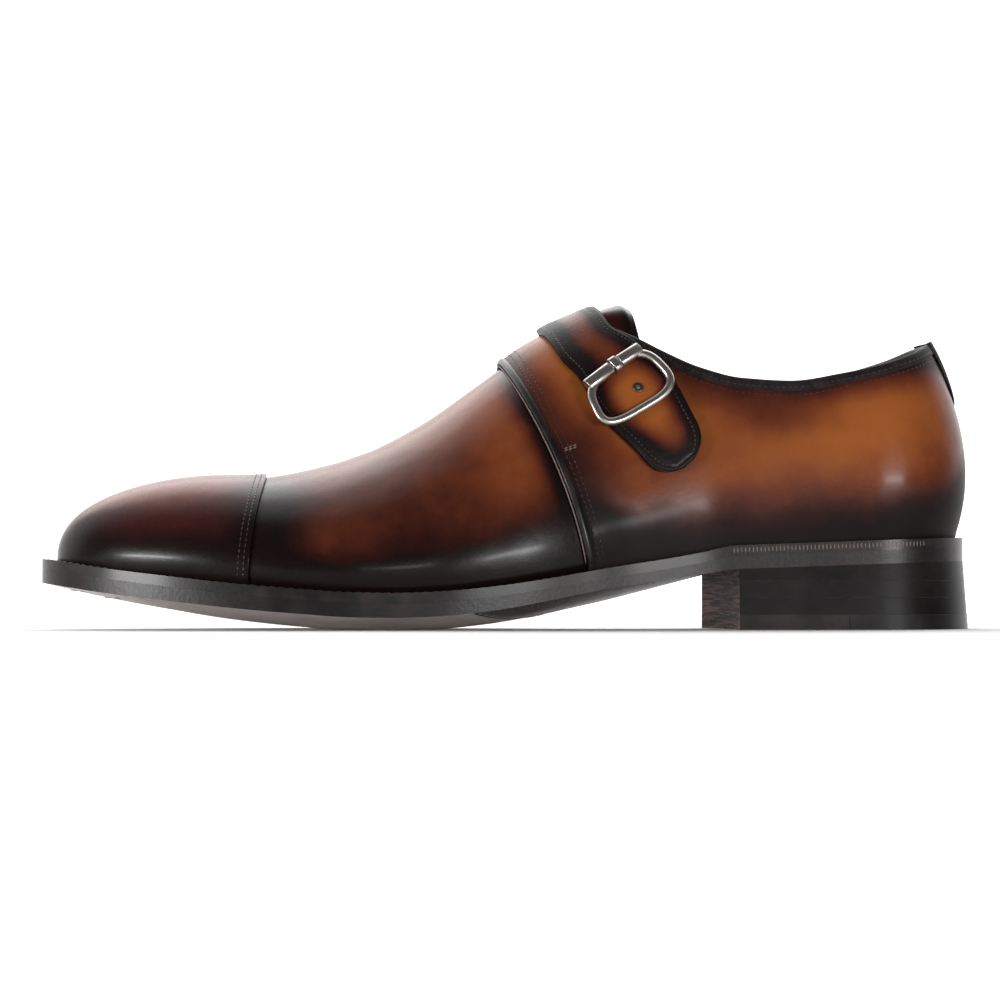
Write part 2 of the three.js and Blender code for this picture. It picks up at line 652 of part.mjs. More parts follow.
// Closed tube along a loop of points, with the loop's own frames.
function tubeLoop(points, radius, sides) {
  const count = points.length;
  const rings = points.map((point, i) => {
    const ahead = points[(i + 1) % count];
    const behind = points[(i + count - 1) % count];
    const along = ahead.clone().sub(behind).normalize();
    const outward = new THREE.Vector3(...BUCKLE_FACING);
    const across = along.clone().cross(outward).normalize();
    const up = across.clone().cross(along).normalize();
    return Array.from({ length: sides }, (_, k) => {
      const angle = (2 * Math.PI * k) / sides;
      return point.clone()
        .addScaledVector(across, radius * Math.cos(angle))
        .addScaledVector(up, radius * Math.sin(angle));
    });
  });
  const positions = [];
  rings.forEach((ring, i) => {
    const next = rings[(i + 1) % count];
    ring.forEach((a, k) => {
      const m = (k + 1) % sides;
      for (const corner of [a, next[k], next[m], a, next[m], ring[m]]) {
        positions.push(corner.x, corner.y, corner.z);
      }
    });
  });
  return weld(positions);
}

// Place on the buckle's face: p runs front to back (-1 to 1), q runs from the top bar (-1) to
// the bottom bar (1).
function buckleSpot(p, q, height) {
  const mix = (key) => {
    const top = THREE.MathUtils.lerp(BUCKLE.topFront[key], BUCKLE.topBack[key], (p + 1) / 2);
    const low = THREE.MathUtils.lerp(BUCKLE.lowFront[key], BUCKLE.lowBack[key], (p + 1) / 2);
    return THREE.MathUtils.lerp(top, low, (q + 1) / 2);
  };
  return archPoint(mix('s'), mix('a'), height);
}

// Height of the wire's middle over the last: the top bar is carried higher by its sleeves.
const wireHeight = (q) => GAP + STRAP_THICKNESS + GAP + WIRE / 2 + (SLEEVE_LIFT * (1 - q)) / 2;

function buckleLoop(radius, steps, sides) {
  const points = Array.from({ length: steps }, (_, i) => {
    const angle = (2 * Math.PI * (i + 0.5)) / steps;
    const corner = Math.abs(Math.cos(angle)) ** WIRE_ROUND + Math.abs(Math.sin(angle)) ** WIRE_ROUND;
    const reach = corner ** (-1 / WIRE_ROUND);
    const q = -Math.sin(angle) * reach;
    return buckleSpot(Math.cos(angle) * reach, q, wireHeight(q));
  });
  return tubeLoop(points, radius, sides);
}

// Block on the top bar between two places along it, bored for the wire.
function barBlock(from, to, wide, high) {
  const a = buckleSpot(from, -1, wireHeight(-1));
  const b = buckleSpot(to, -1, wireHeight(-1));
  const along = b.clone().sub(a);
  const out = buckleSpot(0, -1, 1).sub(buckleSpot(0, -1, 0));
  const across = along.clone().normalize().cross(out).normalize();
  const up = across.clone().cross(along.clone().normalize()).normalize();
  const block = new THREE.BoxGeometry(high, wide, along.length());
  block.applyMatrix4(new THREE.Matrix4().makeBasis(up, across, along.clone().normalize()));
  block.translate(...a.clone().add(b).multiplyScalar(0.5).toArray());
  const bare = new THREE.BufferGeometry().setAttribute('position', block.attributes.position);
  bare.setIndex(block.index);
  const bore = buckleLoop(WIRE / 2 + BORE_GAP, 48, 12);
  return cutAway(mergeVertices(bare, 1e-4), bore);
}

function strapStud() {
  const spot = archPoint(STUD.s, STUD.a, GAP * 2 + STRAP_THICKNESS);
  const normal = archPoint(STUD.s, STUD.a, 1).sub(archPoint(STUD.s, STUD.a, 0)).normalize();
  const disc = new THREE.CylinderGeometry(STUD.radius, STUD.radius, STUD.height, 16);
  disc.translate(0, STUD.height / 2, 0);
  disc.applyQuaternion(new THREE.Quaternion().setFromUnitVectors(new THREE.Vector3(0, 1, 0), normal));
  disc.translate(...spot.toArray());
  const bare = new THREE.BufferGeometry().setAttribute('position', disc.attributes.position);
  bare.setIndex(disc.index);
  return mergeVertices(bare, 1e-4);
}

const insoleBottom = (s, t) => midsoleTop(s, t) + GAP;
const insoleTop = (s, t) => insoleBottom(s, t) + INSOLE;
const liftTop = (level) => () => TOP_PIECE + level * LIFT;

const shoe = new THREE.Group();
function add(name, geometry, color, roughness, metalness = 0) {
  const material = new THREE.MeshStandardMaterial({ color, roughness, metalness });
  const mesh = new THREE.Mesh(geometry, material);
  mesh.name = name;
  shoe.add(mesh);
}
add('outsole', soleLayer(outsoleBottom, outsoleTop, 0, 38, 8), COLOUR.soleLeather, 0.35);
add('midsole', soleLayer(midsoleBottom, midsoleTop, 0, 38, 4), COLOUR.blackEdge, 0.5);
add('insole', soleLayer(insoleBottom, insoleTop, INSOLE_INSET, 26, 4), COLOUR.lining, 0.6);
add('heel_lift_1', heelLayer(TOP_PIECE, liftTop(1)), COLOUR.stack, 0.6);
add('heel_lift_2', heelLayer(TOP_PIECE + LIFT, liftTop(2)), COLOUR.stack, 0.6);
add('heel_lift_3', heelLayer(TOP_PIECE + 2 * LIFT, (s) => edgeHeight(s) - GAP), COLOUR.stack, 0.6);
add('top_piece_front', frontTopPiece(), COLOUR.soleLeather, 0.5);
add('top_piece_rear', rearTopPiece(), COLOUR.rubber, 0.8);
add('upper', upperSolid(), COLOUR.tan, 0.4);
add('toe_cap', toeCapSolid(), COLOUR.burnished, 0.4);
add('tongue', tongueSolid(), COLOUR.burnished, 0.5);
add('back_strip', backStripSolid(), COLOUR.blackEdge, 0.5);
add('strap', strapSolid(), COLOUR.tan, 0.45);
add('strap_stud', strapStud(), COLOUR.metal, 0.3, 1);
add('buckle_frame', buckleLoop(WIRE / 2, 48, 8), COLOUR.metal, 0.3, 1);
add('buckle_sleeve_front', barBlock(...SLEEVE_FRONT, SLEEVE_WIDE, SLEEVE_HIGH), COLOUR.metal, 0.3, 1);
add('buckle_sleeve_rear', barBlock(...SLEEVE_REAR, SLEEVE_WIDE, SLEEVE_HIGH), COLOUR.metal, 0.3, 1);
add('buckle_bead', barBlock(...BEAD, BEAD_WIDE, BEAD_HIGH), COLOUR.metal, 0.3, 1);

const box = new THREE.Box3().setFromObject(shoe);
shoe.position.set(-(box.min.x + box.max.x) / 2, -(box.min.y + box.max.y) / 2, -box.min.z);
shoe.updateMatrixWorld(true);

export default shoe;
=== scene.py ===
# %% [markdown]
# # A monk strap shoe, dressed for its photograph
#
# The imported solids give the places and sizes. This notebook makes the leather, edges,
# stitches and metal that a shoemaker would see on them. All of the leather pieces lie on
# one shape, the last, so its measurements come first and every piece asks it for points.
# Lengths are in millimetres until a mesh is made, and in metres after that.

# %% Frame and tools
import math
from functools import lru_cache

import bmesh
import bpy
from mathutils import Matrix, Vector


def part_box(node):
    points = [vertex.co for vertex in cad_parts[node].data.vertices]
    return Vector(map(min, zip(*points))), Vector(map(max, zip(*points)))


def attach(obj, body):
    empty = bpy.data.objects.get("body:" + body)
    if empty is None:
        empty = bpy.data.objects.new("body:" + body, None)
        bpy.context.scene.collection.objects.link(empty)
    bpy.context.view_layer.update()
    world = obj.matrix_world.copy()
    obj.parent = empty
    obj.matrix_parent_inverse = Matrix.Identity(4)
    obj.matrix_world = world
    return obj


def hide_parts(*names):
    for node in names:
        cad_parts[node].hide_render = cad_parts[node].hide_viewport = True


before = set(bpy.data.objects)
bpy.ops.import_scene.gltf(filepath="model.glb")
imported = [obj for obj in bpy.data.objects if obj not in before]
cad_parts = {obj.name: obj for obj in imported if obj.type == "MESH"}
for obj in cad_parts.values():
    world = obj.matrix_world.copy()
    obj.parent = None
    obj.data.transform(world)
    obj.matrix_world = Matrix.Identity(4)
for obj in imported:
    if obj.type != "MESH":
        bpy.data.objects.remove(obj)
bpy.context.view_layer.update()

MM = 0.001
print("nodes:", ", ".join(sorted(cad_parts)))

# %% [markdown]
# The last is described by short tables of stations, measured from the back of the heel
# (0) to the toe tip (302). A smooth curve through each column gives the value between
# the rows. The curve never overshoots, so a straight stretch stays straight.

# %% Curves through tables
def clamp(x, low=0.0, high=1.0):
    return min(max(x, low), high)


def lerp(a, b, t):
    return a + (b - a) * t


def smooth(x, start, end):
    t = clamp((x - start) / (end - start))
    return t * t * (3 - 2 * t)


def column_curve(rows, k):
    xs = [row[0] for row in rows]
    ys = [row[k] for row in rows]
    secants = [(ys[i + 1] - ys[i]) / (xs[i + 1] - xs[i]) for i in range(len(xs) - 1)]
    slopes = []
    for i in range(len(xs)):
        before, after = secants[max(i - 1, 0)], secants[min(i, len(secants) - 1)]
        slopes.append(0 if before * after <= 0 else 2 * before * after / (before + after))

    def value(x):
        x = clamp(x, xs[0], xs[-1])
        i = 0
        while i < len(xs) - 2 and x > xs[i + 1]:
            i += 1
        h = xs[i + 1] - xs[i]
        t = (x - xs[i]) / h
        start = (1 + 2 * t) * (1 - t) ** 2 * ys[i] + t * (1 - t) ** 2 * h * slopes[i]
        end = t * t * (3 - 2 * t) * ys[i + 1] + t * t * (t - 1) * h * slopes[i + 1]
        return start + end

    return value


def table(names, rows):
    return {name: column_curve(rows, k + 1) for k, name in enumerate(names.split())}


def round_off(t, power):
    return (1 - clamp(t) ** power) ** (1 / power)


def squared(angle, squareness):
    """Point of a circle (squareness 2) or a squarer loop at this angle."""
    c, n = math.cos(angle), math.sin(angle)
    reach = (abs(c) ** squareness + abs(n) ** squareness) ** (-1 / squareness)
    return c * reach, n * reach


def crossing(low, high, is_before):
    """The place between low and high where is_before stops being true."""
    for _ in range(40):
        middle = (low + high) / 2
        if is_before(middle):
            low = middle
        else:
            high = middle
    return (low + high) / 2


print("halfway of a soft step:", smooth(0.5, 0, 1))

# %% [markdown]
# The sole comes first, because everything else stands on it. One table holds its outline
# seen from below and one its side view: the height of its edge, the crown under the ball,
# the lift of the inner edge in the arch, and its thickness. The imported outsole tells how
# far the shoe was moved sideways when its box was centred.

# %% Sole measurements
LENGTH = 302
SEAT_BACK = 1.6
HEEL_CENTRE = 36
HEEL_BREAST = 82
SEAT_HEIGHT = 22.3
SEAT_SLOPE = -0.036
GAP = 0.3
MIDSOLE = 3
INSOLE = 2.5
INSOLE_INSET = 8.4
TOE_START, TOE_ROUND = 205, 2
HEEL_ROUND = 2.15

PLAN = table("lateral medial axis welt", [
    (0, 34.5, 34.5, 0, 2.6),
    (36, 34.5, 34.5, 0, 2.6),
    (62, 34, 32.5, 0, 2.4),
    (85, 34, 28.5, 0, 2.2),
    (110, 37, 25.5, 0, 2),
    (130, 42, 27, 0, 2.2),
    (155, 48.5, 35, 0, 3.2),
    (180, 52, 44.5, 0, 4.2),
    (202, 52.5, 50.5, 0.3, 4.6),
    (225, 51.3, 51.3, 1.2, 4.8),
    (260, 48.5, 48, 3, 4.8),
    (302, 44, 43, 4.5, 4.8),
])
SOLE = table("edge crown lift thickness", [
    (60, 20.14, 0, 0, 4.3),
    (82, 19.35, 0, 0, 4.2),
    (94, 17.5, 1.4, 0.8, 3.6),
    (110, 15.2, 3.4, 2.2, 3.2),
    (125, 12.9, 4.8, 3, 3.2),
    (142, 9.6, 5.2, 2.4, 3.6),
    (160, 6.4, 5, 1.2, 4.2),
    (178, 4.5, 4.7, 0.3, 4.4),
    (192, 4, 4.5, 0, 4.4),
    (206, 4.2, 4.4, 0, 4.4),
    (221, 5.2, 4.2, 0, 4.4),
    (240, 6.8, 3.7, 0, 4.4),
    (263, 9.4, 2.6, 0, 4.4),
    (283, 11.9, 1.3, 0, 4.5),
    (302, 15, 0, 0, 4.5),
])


@lru_cache(maxsize=None)
def outline(s, side, inset=0.0):
    """Sideways place of the sole's outline at station s, drawn in by inset."""
    half = PLAN["lateral"](s) if side < 0 else PLAN["medial"](s)
    toe = round_off((s - TOE_START) / (LENGTH - inset - TOE_START), TOE_ROUND)
    heel = round_off((HEEL_CENTRE - s) / (HEEL_CENTRE - SEAT_BACK - inset), HEEL_ROUND)
    return PLAN["axis"](s) + side * (half - inset) * toe * heel


def edge_height(s):
    return SEAT_HEIGHT + SEAT_SLOPE * s if s < HEEL_BREAST else SOLE["edge"](s)


def sole_lift(s, t):
    return SOLE["lift"](s) * t * t if t > 0 and s >= HEEL_BREAST else 0


def across_sole(s, t, inset=0.0):
    """Sideways place at t, from -1 at the lateral edge over 0 to 1 at the medial edge."""
    axis = PLAN["axis"](s)
    return axis + (outline(s, -1 if t < 0 else 1, inset) - axis) * abs(t)


def outsole_bottom(s, t):
    crown = SOLE["crown"](s) * (1 - t * t) if s >= HEEL_BREAST else 0
    return max(edge_height(s) + sole_lift(s, t) - crown, 0)


def outsole_top(s, t):
    return edge_height(s) + sole_lift(s, t) + SOLE["thickness"](s)


def midsole_top(s, t):
    return outsole_top(s, t) + GAP + MIDSOLE


STATIONS = [SEAT_BACK + (LENGTH - SEAT_BACK) * k / 400 for k in range(401)]
lateral_most = min(outline(s, -1) for s in STATIONS)
Y_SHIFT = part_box("outsole")[0][1] / MM - lateral_most
print("sideways shift of the packed part:", round(Y_SHIFT, 3))


def place(s, y, z):
    """Point of the part, in metres, from a station, a sideways place and a height."""
    return Vector((LENGTH / 2 - s, y + Y_SHIFT, z)) * MM


# %% [markdown]
# The last is the wooden foot that a shoe is built over. Each of its cross sections is a
# rounded arch from welt to welt: a height, a squareness that fills its shoulders, and a
# swell that rounds its sides. Behind the heel's centre the sections turn like a fan, so
# that the back is round. A point on it is named by its station and by v, from the welt (0)
# to the ridge (1). Seams lean as they climb, which the second table describes.

# %% The last
LAST = table("height ridge lat_square med_square lat_swell med_swell", [
    (36, 80, 0, 2.35, 2.35, 3, 3),
    (60, 81.5, 0.5, 2.45, 2.45, 2, 1.5),
    (85, 82.5, 2, 2.35, 2.4, 1.2, 0.5),
    (112, 84.9, 3.5, 2.05, 2.2, 1.5, 0.5),
    (134, 80.8, 4.5, 1.9, 2, 1.8, 1),
    (147, 76.2, 5, 1.86, 1.95, 2, 1.3),
    (160, 67.4, 5.5, 1.86, 1.93, 2.2, 1.8),
    (180, 54.2, 6, 1.9, 1.93, 2.4, 2.4),
    (200, 44.6, 6, 1.98, 1.98, 2.4, 2.6),
    (226, 37.2, 5.5, 2.1, 2.1, 2.2, 2.3),
    (252, 34.1, 5, 2.25, 2.25, 1.8, 1.8),
    (277, 31.5, 4.8, 2.3, 2.3, 1.2, 1.2),
    (302, 29.5, 4.5, 2.3, 2.3, 0, 0),
])
LEAN = table("lean bow", [
    (36, 0, 1.35),
    (80, 4, 1.35),
    (105, 14, 1.35),
    (130, 24, 1.35),
    (160, 19, 1.35),
    (200, 5, 1.7),
    (237, -7.5, 2),
    (262, -4, 2),
    (297, 0, 2),
])
TOE_TIP = LENGTH - PLAN["welt"](LENGTH)
BACK_SWELL = 4.5
BELLY = 6.75
VAULT_START, VAULT_ROUND = 240, 2.2
LEAN_POWER = 2.3
TUCK = 0.9


@lru_cache(maxsize=None)
def back_station(turn):
    """Station of the welt's inner line that lies this far round the heel's centre."""
    def is_before(s):
        return math.atan2(outline(s, 1, PLAN["welt"](s)), HEEL_CENTRE - s) < turn

    return crossing(SEAT_BACK + PLAN["welt"](0), HEEL_CENTRE, is_before)


@lru_cache(maxsize=None)
def section(u, side):
    """What one cross section of the last is made from."""
    square = LAST["lat_square" if side < 0 else "med_square"](u)
    swell = LAST["lat_swell" if side < 0 else "med_swell"](u)
    turning = u < HEEL_CENTRE
    turn = u / HEEL_CENTRE * math.pi / 2 if turning else math.pi / 2
    s = back_station(turn) if turning else u
    welt = PLAN["welt"](s)
    foot = outline(s, side, welt)
    feather = midsole_top(s, -1) + GAP
    lift = midsole_top(s, side) + GAP - feather
    toe = round_off((u - VAULT_START) / (LENGTH - welt - VAULT_START), VAULT_ROUND)
    ridge = lerp(PLAN["axis"](u), LAST["ridge"](u), toe)
    return square, swell, turning, turn, s, foot, feather, lift, toe, ridge, LAST["height"](u)


def last_point(u, v, side):
    """Point of the last at station u; v runs from 0 at the welt to 1 at the ridge."""
    square, swell, turning, turn, s, foot, feather, lift, toe, ridge, height = section(u, side)
    across, up = squared(v * math.pi / 2, square)
    z = feather + height * toe * up + lift * (1 - up)
    belly = BELLY * up * (1 - up) ** 2 * toe
    if turning:
        radius = math.hypot(HEEL_CENTRE - s, foot)
        full = lerp(BACK_SWELL, swell, math.sin(turn) ** 2)
        radial = radius * across + full * belly
        return Vector((HEEL_CENTRE - math.cos(turn) * radial, side * math.sin(turn) * radial, z))
    return Vector((u, ridge + (foot - ridge) * across + side * swell * belly, z))


def last_normal(u, v, side):
    if u > TOE_TIP - 0.01:
        return Vector((1, 0, 0))
    if u <= HEEL_CENTRE and v > 0.999:
        return Vector((0, 0, 1))
    along = last_point(min(u + 0.05, TOE_TIP), v, side) - last_point(max(u - 0.05, 0), v, side)
    if v > 0.999:
        rise = Vector((0, -side, 0))
    else:
        rise = last_point(u, min(v + 0.002, 1), side) - last_point(u, max(v - 0.002, 0), side)
    return along.cross(rise).normalized() * -side


def skin(u, v, side, offset=0.0):
    """Point at this height over the last, as station, sideways place and height."""
    point = last_point(u, v, side)
    if abs(offset) < 1e-6:
        return point
    moved = point + last_normal(u, v, side) * offset
    if v == 0:
        moved.z = point.z
    return moved


def foot_drop(v):
    """How far the leather is tucked down into the feather line, in millimetres."""
    return TUCK * (1 - smooth(v, 0.0, 0.02))


def arch(s, a, offset=0.0):
    """The same with a from -1 (lateral welt) over 0 (ridge) to 1 (medial welt)."""
    return skin(s, 1 - abs(a), -1 if a < 0 else 1, offset)


def lean_share(v, bow):
    return 1 - (1 - v**bow) ** LEAN_POWER


def leaned(station, v):
    return station + LEAN["lean"](station) * lean_share(v, LEAN["bow"](station))


print("last: ball height", round(last_point(200, 1, 1).z, 1))

# %% [markdown]
# A leather piece starts as a flat grid. Each corner of the grid is moved to its place on
# the last, as a shoemaker pulls a cut panel over the wood. The grid keeps a number on every
# corner, its shade: how dark the patina is there. The materials read it, so that colour
# follows the seams. Modifiers then give the leather its thickness and round its cut edge.

# %% Meshes from grids
def finish_mesh(name, bm, smooth_faces=True):
    mesh = bpy.data.meshes.new(name)
    bm.to_mesh(mesh)
    bm.free()
    obj = bpy.data.objects.new(name, mesh)
    bpy.context.scene.collection.objects.link(obj)
    for face in mesh.polygons:
        face.use_smooth = smooth_faces
    return obj


def mapped_grid(columns, rows, position, marks=None):
    """A grid whose corner (i, j) goes to position(i, j), with optional number layers."""
    bm = bmesh.new()
    bmesh.ops.create_grid(bm, x_segments=columns, y_segments=rows, size=0.5)
    layers = {}
    if marks:
        layers = {key: bm.verts.layers.float.new(key) for key in marks(0, 0)}
    for vert in bm.verts:
        i = round((vert.co.x + 0.5) * columns)
        j = round((vert.co.y + 0.5) * rows)
        if marks:
            for key, value in marks(i, j).items():
                vert[layers[key]] = value
        vert.co = position(i, j)
    bmesh.ops.remove_doubles(bm, verts=bm.verts, dist=2e-6)
    return bm


def facing_out(bm, outward):
    """Turns the faces so that the sum of their normals along outward is positive."""
    bm.normal_update()
    if sum(face.normal.dot(outward(face.calc_center_median())) for face in bm.faces) < 0:
        bmesh.ops.reverse_faces(bm, faces=bm.faces)


def round_edges(obj, width, segments, harden):
    rounding = obj.modifiers.new("edge", "BEVEL")
    rounding.width = width * MM
    rounding.segments = segments
    rounding.limit_method = "ANGLE"
    rounding.angle_limit = math.radians(50)
    rounding.harden_normals = harden


def thicken(obj, thickness, edge=0.0, even=True):
    wall = obj.modifiers.new("wall", "SOLIDIFY")
    wall.thickness = thickness * MM
    wall.offset = -1
    wall.use_even_offset = even
    if edge:
        round_edges(obj, edge, 3, False)


def even_steps(a, b, count):
    return [a + (b - a) * k / count for k in range(count + 1)]


def end_steps(a, b, count):
    return [a + (b - a) * (1 - math.cos(math.pi * k / count)) / 2 for k in range(count + 1)]


def part_centre(point):
    """Direction from the shoe's long axis to a point of the upper."""
    return (point - Vector((point.x, Y_SHIFT * MM, 0.045))).normalized()


def panel(name, columns, rows, position, marks=None):
    """A mapped grid that faces away from the inside of the shoe."""
    bm = mapped_grid(columns, rows, position, marks)
    facing_out(bm, part_centre)
    return finish_mesh(name, bm)


print("steps that crowd at their ends:", [round(x, 2) for x in end_steps(0, 1, 6)])

# %% [markdown]
# Shader maths reads best as plain sums. A small class wraps a node socket, and adding or
# multiplying two of them adds the Math node that does it.

# %% Shader helpers
class Node:
    """One socket of a node tree that can be added, multiplied and mixed."""

    def __init__(self, tree, socket):
        self.tree, self.socket = tree, socket

    def math(self, operation, *values, clamped=False):
        return self.make("ShaderNodeMath", {"operation": operation, "use_clamp": clamped},
                         dict(enumerate((self, *values))))

    def make(self, kind, settings=None, inputs=None, output=0):
        node = self.tree.nodes.new(kind)
        for key, value in (settings or {}).items():
            setattr(node, key, value)
        for key, value in (inputs or {}).items():
            if isinstance(value, Node):
                self.tree.links.new(value.socket, node.inputs[key])
            else:
                node.inputs[key].default_value = value
        return Node(self.tree, node.outputs[output])

    def __add__(self, other):
        return self.math("ADD", other)

    def __sub__(self, other):
        return self.math("SUBTRACT", other)

    def __rsub__(self, other):
        return (self * -1).math("ADD", other)

    def __mul__(self, other):
        return self.math("MULTIPLY", other)

    def clamped(self):
        return self.math("ADD", 0.0, clamped=True)

    def step(self, start, end):
        """0 below start and 1 above end, with a soft rise between them."""
        return self.make("ShaderNodeMapRange", {"interpolation_type": "SMOOTHSTEP"},
                         {0: self, 1: start, 2: end, 3: 0.0, 4: 1.0})

    def mix(self, low, high):
        """Colour between low (where this is 0) and high (where this is 1)."""
        return self.make("ShaderNodeMix", {"data_type": "RGBA"}, {0: self, 6: low, 7: high}, 2)

    def noise(self, scale, detail, roughness):
        """Noise at this many cells a metre, read at this vector."""
        return self.make("ShaderNodeTexNoise", {}, {"Vector": self, "Scale": scale,
                                                    "Detail": detail, "Roughness": roughness})

    def part(self, k):
        """The x (0), y (1) or z (2) of this vector."""
        return self.make("ShaderNodeSeparateXYZ", {}, {0: self}, k)


def new_material(name):
    """A material, its first socket (Object coordinates) and its Principled shader."""
    material = bpy.data.materials.new(name)
    material.use_nodes = True
    tree = material.node_tree
    shader = tree.nodes["Principled BSDF"]
    coords = tree.nodes.new("ShaderNodeTexCoord")
    return material, Node(tree, coords.outputs["Object"]), shader


def mark(start, name):
    """The number layer of this name."""
    return start.make("ShaderNodeAttribute", {"attribute_name": name}, None, 2)


def link(value, shader, name):
    value.tree.links.new(value.socket, shader.inputs[name])


def bump(height, shader, strength, distance):
    normal = height.make("ShaderNodeBump", {}, {"Strength": strength, "Distance": distance,
                                                "Height": height})
    link(normal, shader, "Normal")


def rgb(r, g, b):
    return (r, g, b, 1.0)


def darker(colour, share):
    return rgb(*(share * channel for channel in colour[:3]))


print("shader helpers ready")

# %% [markdown]
# The calf is dyed by hand. It starts as a warm tan, and a dark wine-brown cream is rubbed
# in along every seam, at the toe and the heel, and then polished. Two noise fields make
# the blend cloudy: a wide one for the strokes of the cloth and a narrow one for the
# grain, which takes up more dye in its pores.

# %% Patina leather
CLOTH, BLOT, PORES, GRAIN, CREASE = 38.0, 140.0, 2600.0, 900.0, 95.0  # cells a metre
TAN = rgb(0.275, 0.078, 0.0175)
CHESTNUT = rgb(0.125, 0.029, 0.011)
OXBLOOD = rgb(0.024, 0.0055, 0.0045)
NEAR_BLACK = rgb(0.006, 0.0032, 0.0028)


def patina(name, light=TAN, middle=CHESTNUT, dark=OXBLOOD, gloss=0.25, coat=0.06, dull=0.0,
           pebble=0.22):
    """Dyed calf; dull mattes its darkest places and pebble lifts its grain."""
    material, place_on, shader = new_material(name)
    shade = mark(place_on, "shade")
    cloth = place_on.noise(CLOTH, 5.0, 0.6) - 0.5
    blot = place_on.noise(BLOT, 4.0, 0.6) - 0.5
    pores = place_on.noise(PORES, 2.0, 0.6)
    depth = (shade + cloth * 0.5 + blot * 0.12).clamped()
    warm = depth.step(0.05, 0.55).mix(light, middle)
    deep = depth.step(0.4, 0.85).mix(warm, dark)
    black = depth.step(0.76, 1.0).mix(deep, NEAR_BLACK)
    link((pores.step(0.6, 0.8) * 0.12).mix(black, dark), shader, "Base Color")
    matte = depth.step(0.5, 0.9) * dull
    link(blot * 0.12 + pores * 0.05 + matte + gloss, shader, "Roughness")
    shader.inputs["Coat Weight"].default_value = coat
    shader.inputs["Coat Roughness"].default_value = 0.14
    shader.inputs["Specular IOR Level"].default_value = 0.09
    grain = place_on.noise(GRAIN, 4.0, 0.65)
    creases = place_on.noise(CREASE, 3.0, 0.5)
    bump(grain * pebble + creases, shader, 0.2, 0.0006)
    return material


upper_leather = patina("hand dyed calf")
quarter_leather = patina("quarter calf", coat=0.03, dull=0.25)
strap_leather = patina("strap calf", coat=0.04, dull=0.15, pebble=1.1)
cap_leather = patina("toe cap calf", light=rgb(0.2, 0.055, 0.035),
                     middle=rgb(0.05, 0.0105, 0.008), dark=rgb(0.012, 0.004, 0.004))
print("patina leathers:", upper_leather.name, quarter_leather.name, strap_leather.name)

# %% [markdown]
# The other leathers and the threads are one colour that drifts a little into a second
# one. The sole's edge is inked and waxed until it shines, the binding is plain black calf,
# and the lining is undyed. Linen thread is waxed, so it is a little glossy.

# %% Plain leathers and threads
INK_DEEP, INK_WORN = rgb(0.006, 0.005, 0.005), rgb(0.022, 0.016, 0.014)


def plain_leather(name, colour, second, gloss, scale, relief=0.3, coat=0.0):
    material, place_on, shader = new_material(name)
    cloud = place_on.noise(scale, 5.0, 0.6)
    grain = place_on.noise(scale * 12, 3.0, 0.6)
    link(cloud.step(0.35, 0.7).mix(colour, second), shader, "Base Color")
    link(cloud * 0.14 + grain * 0.08 + gloss, shader, "Roughness")
    shader.inputs["Coat Weight"].default_value = coat
    shader.inputs["Coat Roughness"].default_value = 0.2
    shader.inputs["Specular IOR Level"].default_value = 0.14
    bump(grain + cloud, shader, relief, 0.0004)
    return material


black_edge = plain_leather("waxed black edge", INK_DEEP, INK_WORN, 0.26, 120.0, 0.2, 0.15)
binding_leather = plain_leather("black binding", rgb(0.007, 0.005, 0.005), rgb(0.02, 0.012, 0.012),
                                0.48, 300.0, 0.4)
lining_leather = plain_leather("lining leather", rgb(0.36, 0.19, 0.09), rgb(0.28, 0.14, 0.065),
                               0.5, 160.0)
thread_dark = plain_leather("dark thread", rgb(0.018, 0.011, 0.011), rgb(0.04, 0.026, 0.026),
                            0.3, 2000.0, 0.2, 0.4)
thread_pale = plain_leather("pale thread", rgb(0.2, 0.15, 0.135), rgb(0.13, 0.095, 0.085),
                            0.5, 2000.0)


def dress(obj, material, nodes=()):
    """Gives a piece its material and its body, and hides the solids it replaces."""
    obj.data.materials.clear()
    obj.data.materials.append(material)
    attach(obj, "root")
    if nodes:
        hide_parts(*nodes)
    return obj


print("plain leathers:", black_edge.name, binding_leather.name, lining_leather.name)

# %% [markdown]
# The quarters are the rear half of the upper, one panel on each side. Their front edge
# runs down the side of the foot in a bow, and their top edge is the top line, which has
# its own table of heights for each side of the foot. Columns of the grid start along the
# ridge, go round the top line to the back, and each one runs down to the welt.

# %% Top line
COLLAR = table("lateral medial", [
    (-20, 95, 95),
    (4, 94.8, 94.8),
    (12.5, 93, 93),
    (21, 89, 89.6),
    (32, 85, 86.4),
    (46, 81.5, 83.5),
    (63, 78.9, 81),
    (79, 80, 81.5),
    (92, 83.6, 84.5),
    (104, 89.3, 89.8),
    (110, 92.8, 93),
    (121, 98.5, 98.5),
])
QUARTER_EDGE = 130
CAP_EDGE = 237
WALL = 2.9
COLLAR_SIDE = 70
TURN_AT = 107.0
RIDGE_COLUMNS, COLLAR_COLUMNS, HEEL_COLUMNS = 36, 90, 30


def collar_height(s, y):
    return lerp(COLLAR["lateral"](s), COLLAR["medial"](s), (y / COLLAR_SIDE + 1) / 2)


@lru_cache(maxsize=None)
def collar_v(u, side):
    """Place on the arch where the last reaches the top line, or 1 where it stays below."""
    def over(v):
        point = last_point(u, v, side)
        return point.z - collar_height(point.x, point.y)

    return 1.0 if over(1) < 0 else crossing(0.3, 1.0, lambda v: over(v) < 0)


COLLAR_FRONT = crossing(100.0, 140.0, lambda s: last_point(s, 1, 1).z > collar_height(s, 0))
RIDGE_FRONT = QUARTER_EDGE + LEAN["lean"](QUARTER_EDGE)
print("collar starts at station", round(COLLAR_FRONT, 1))


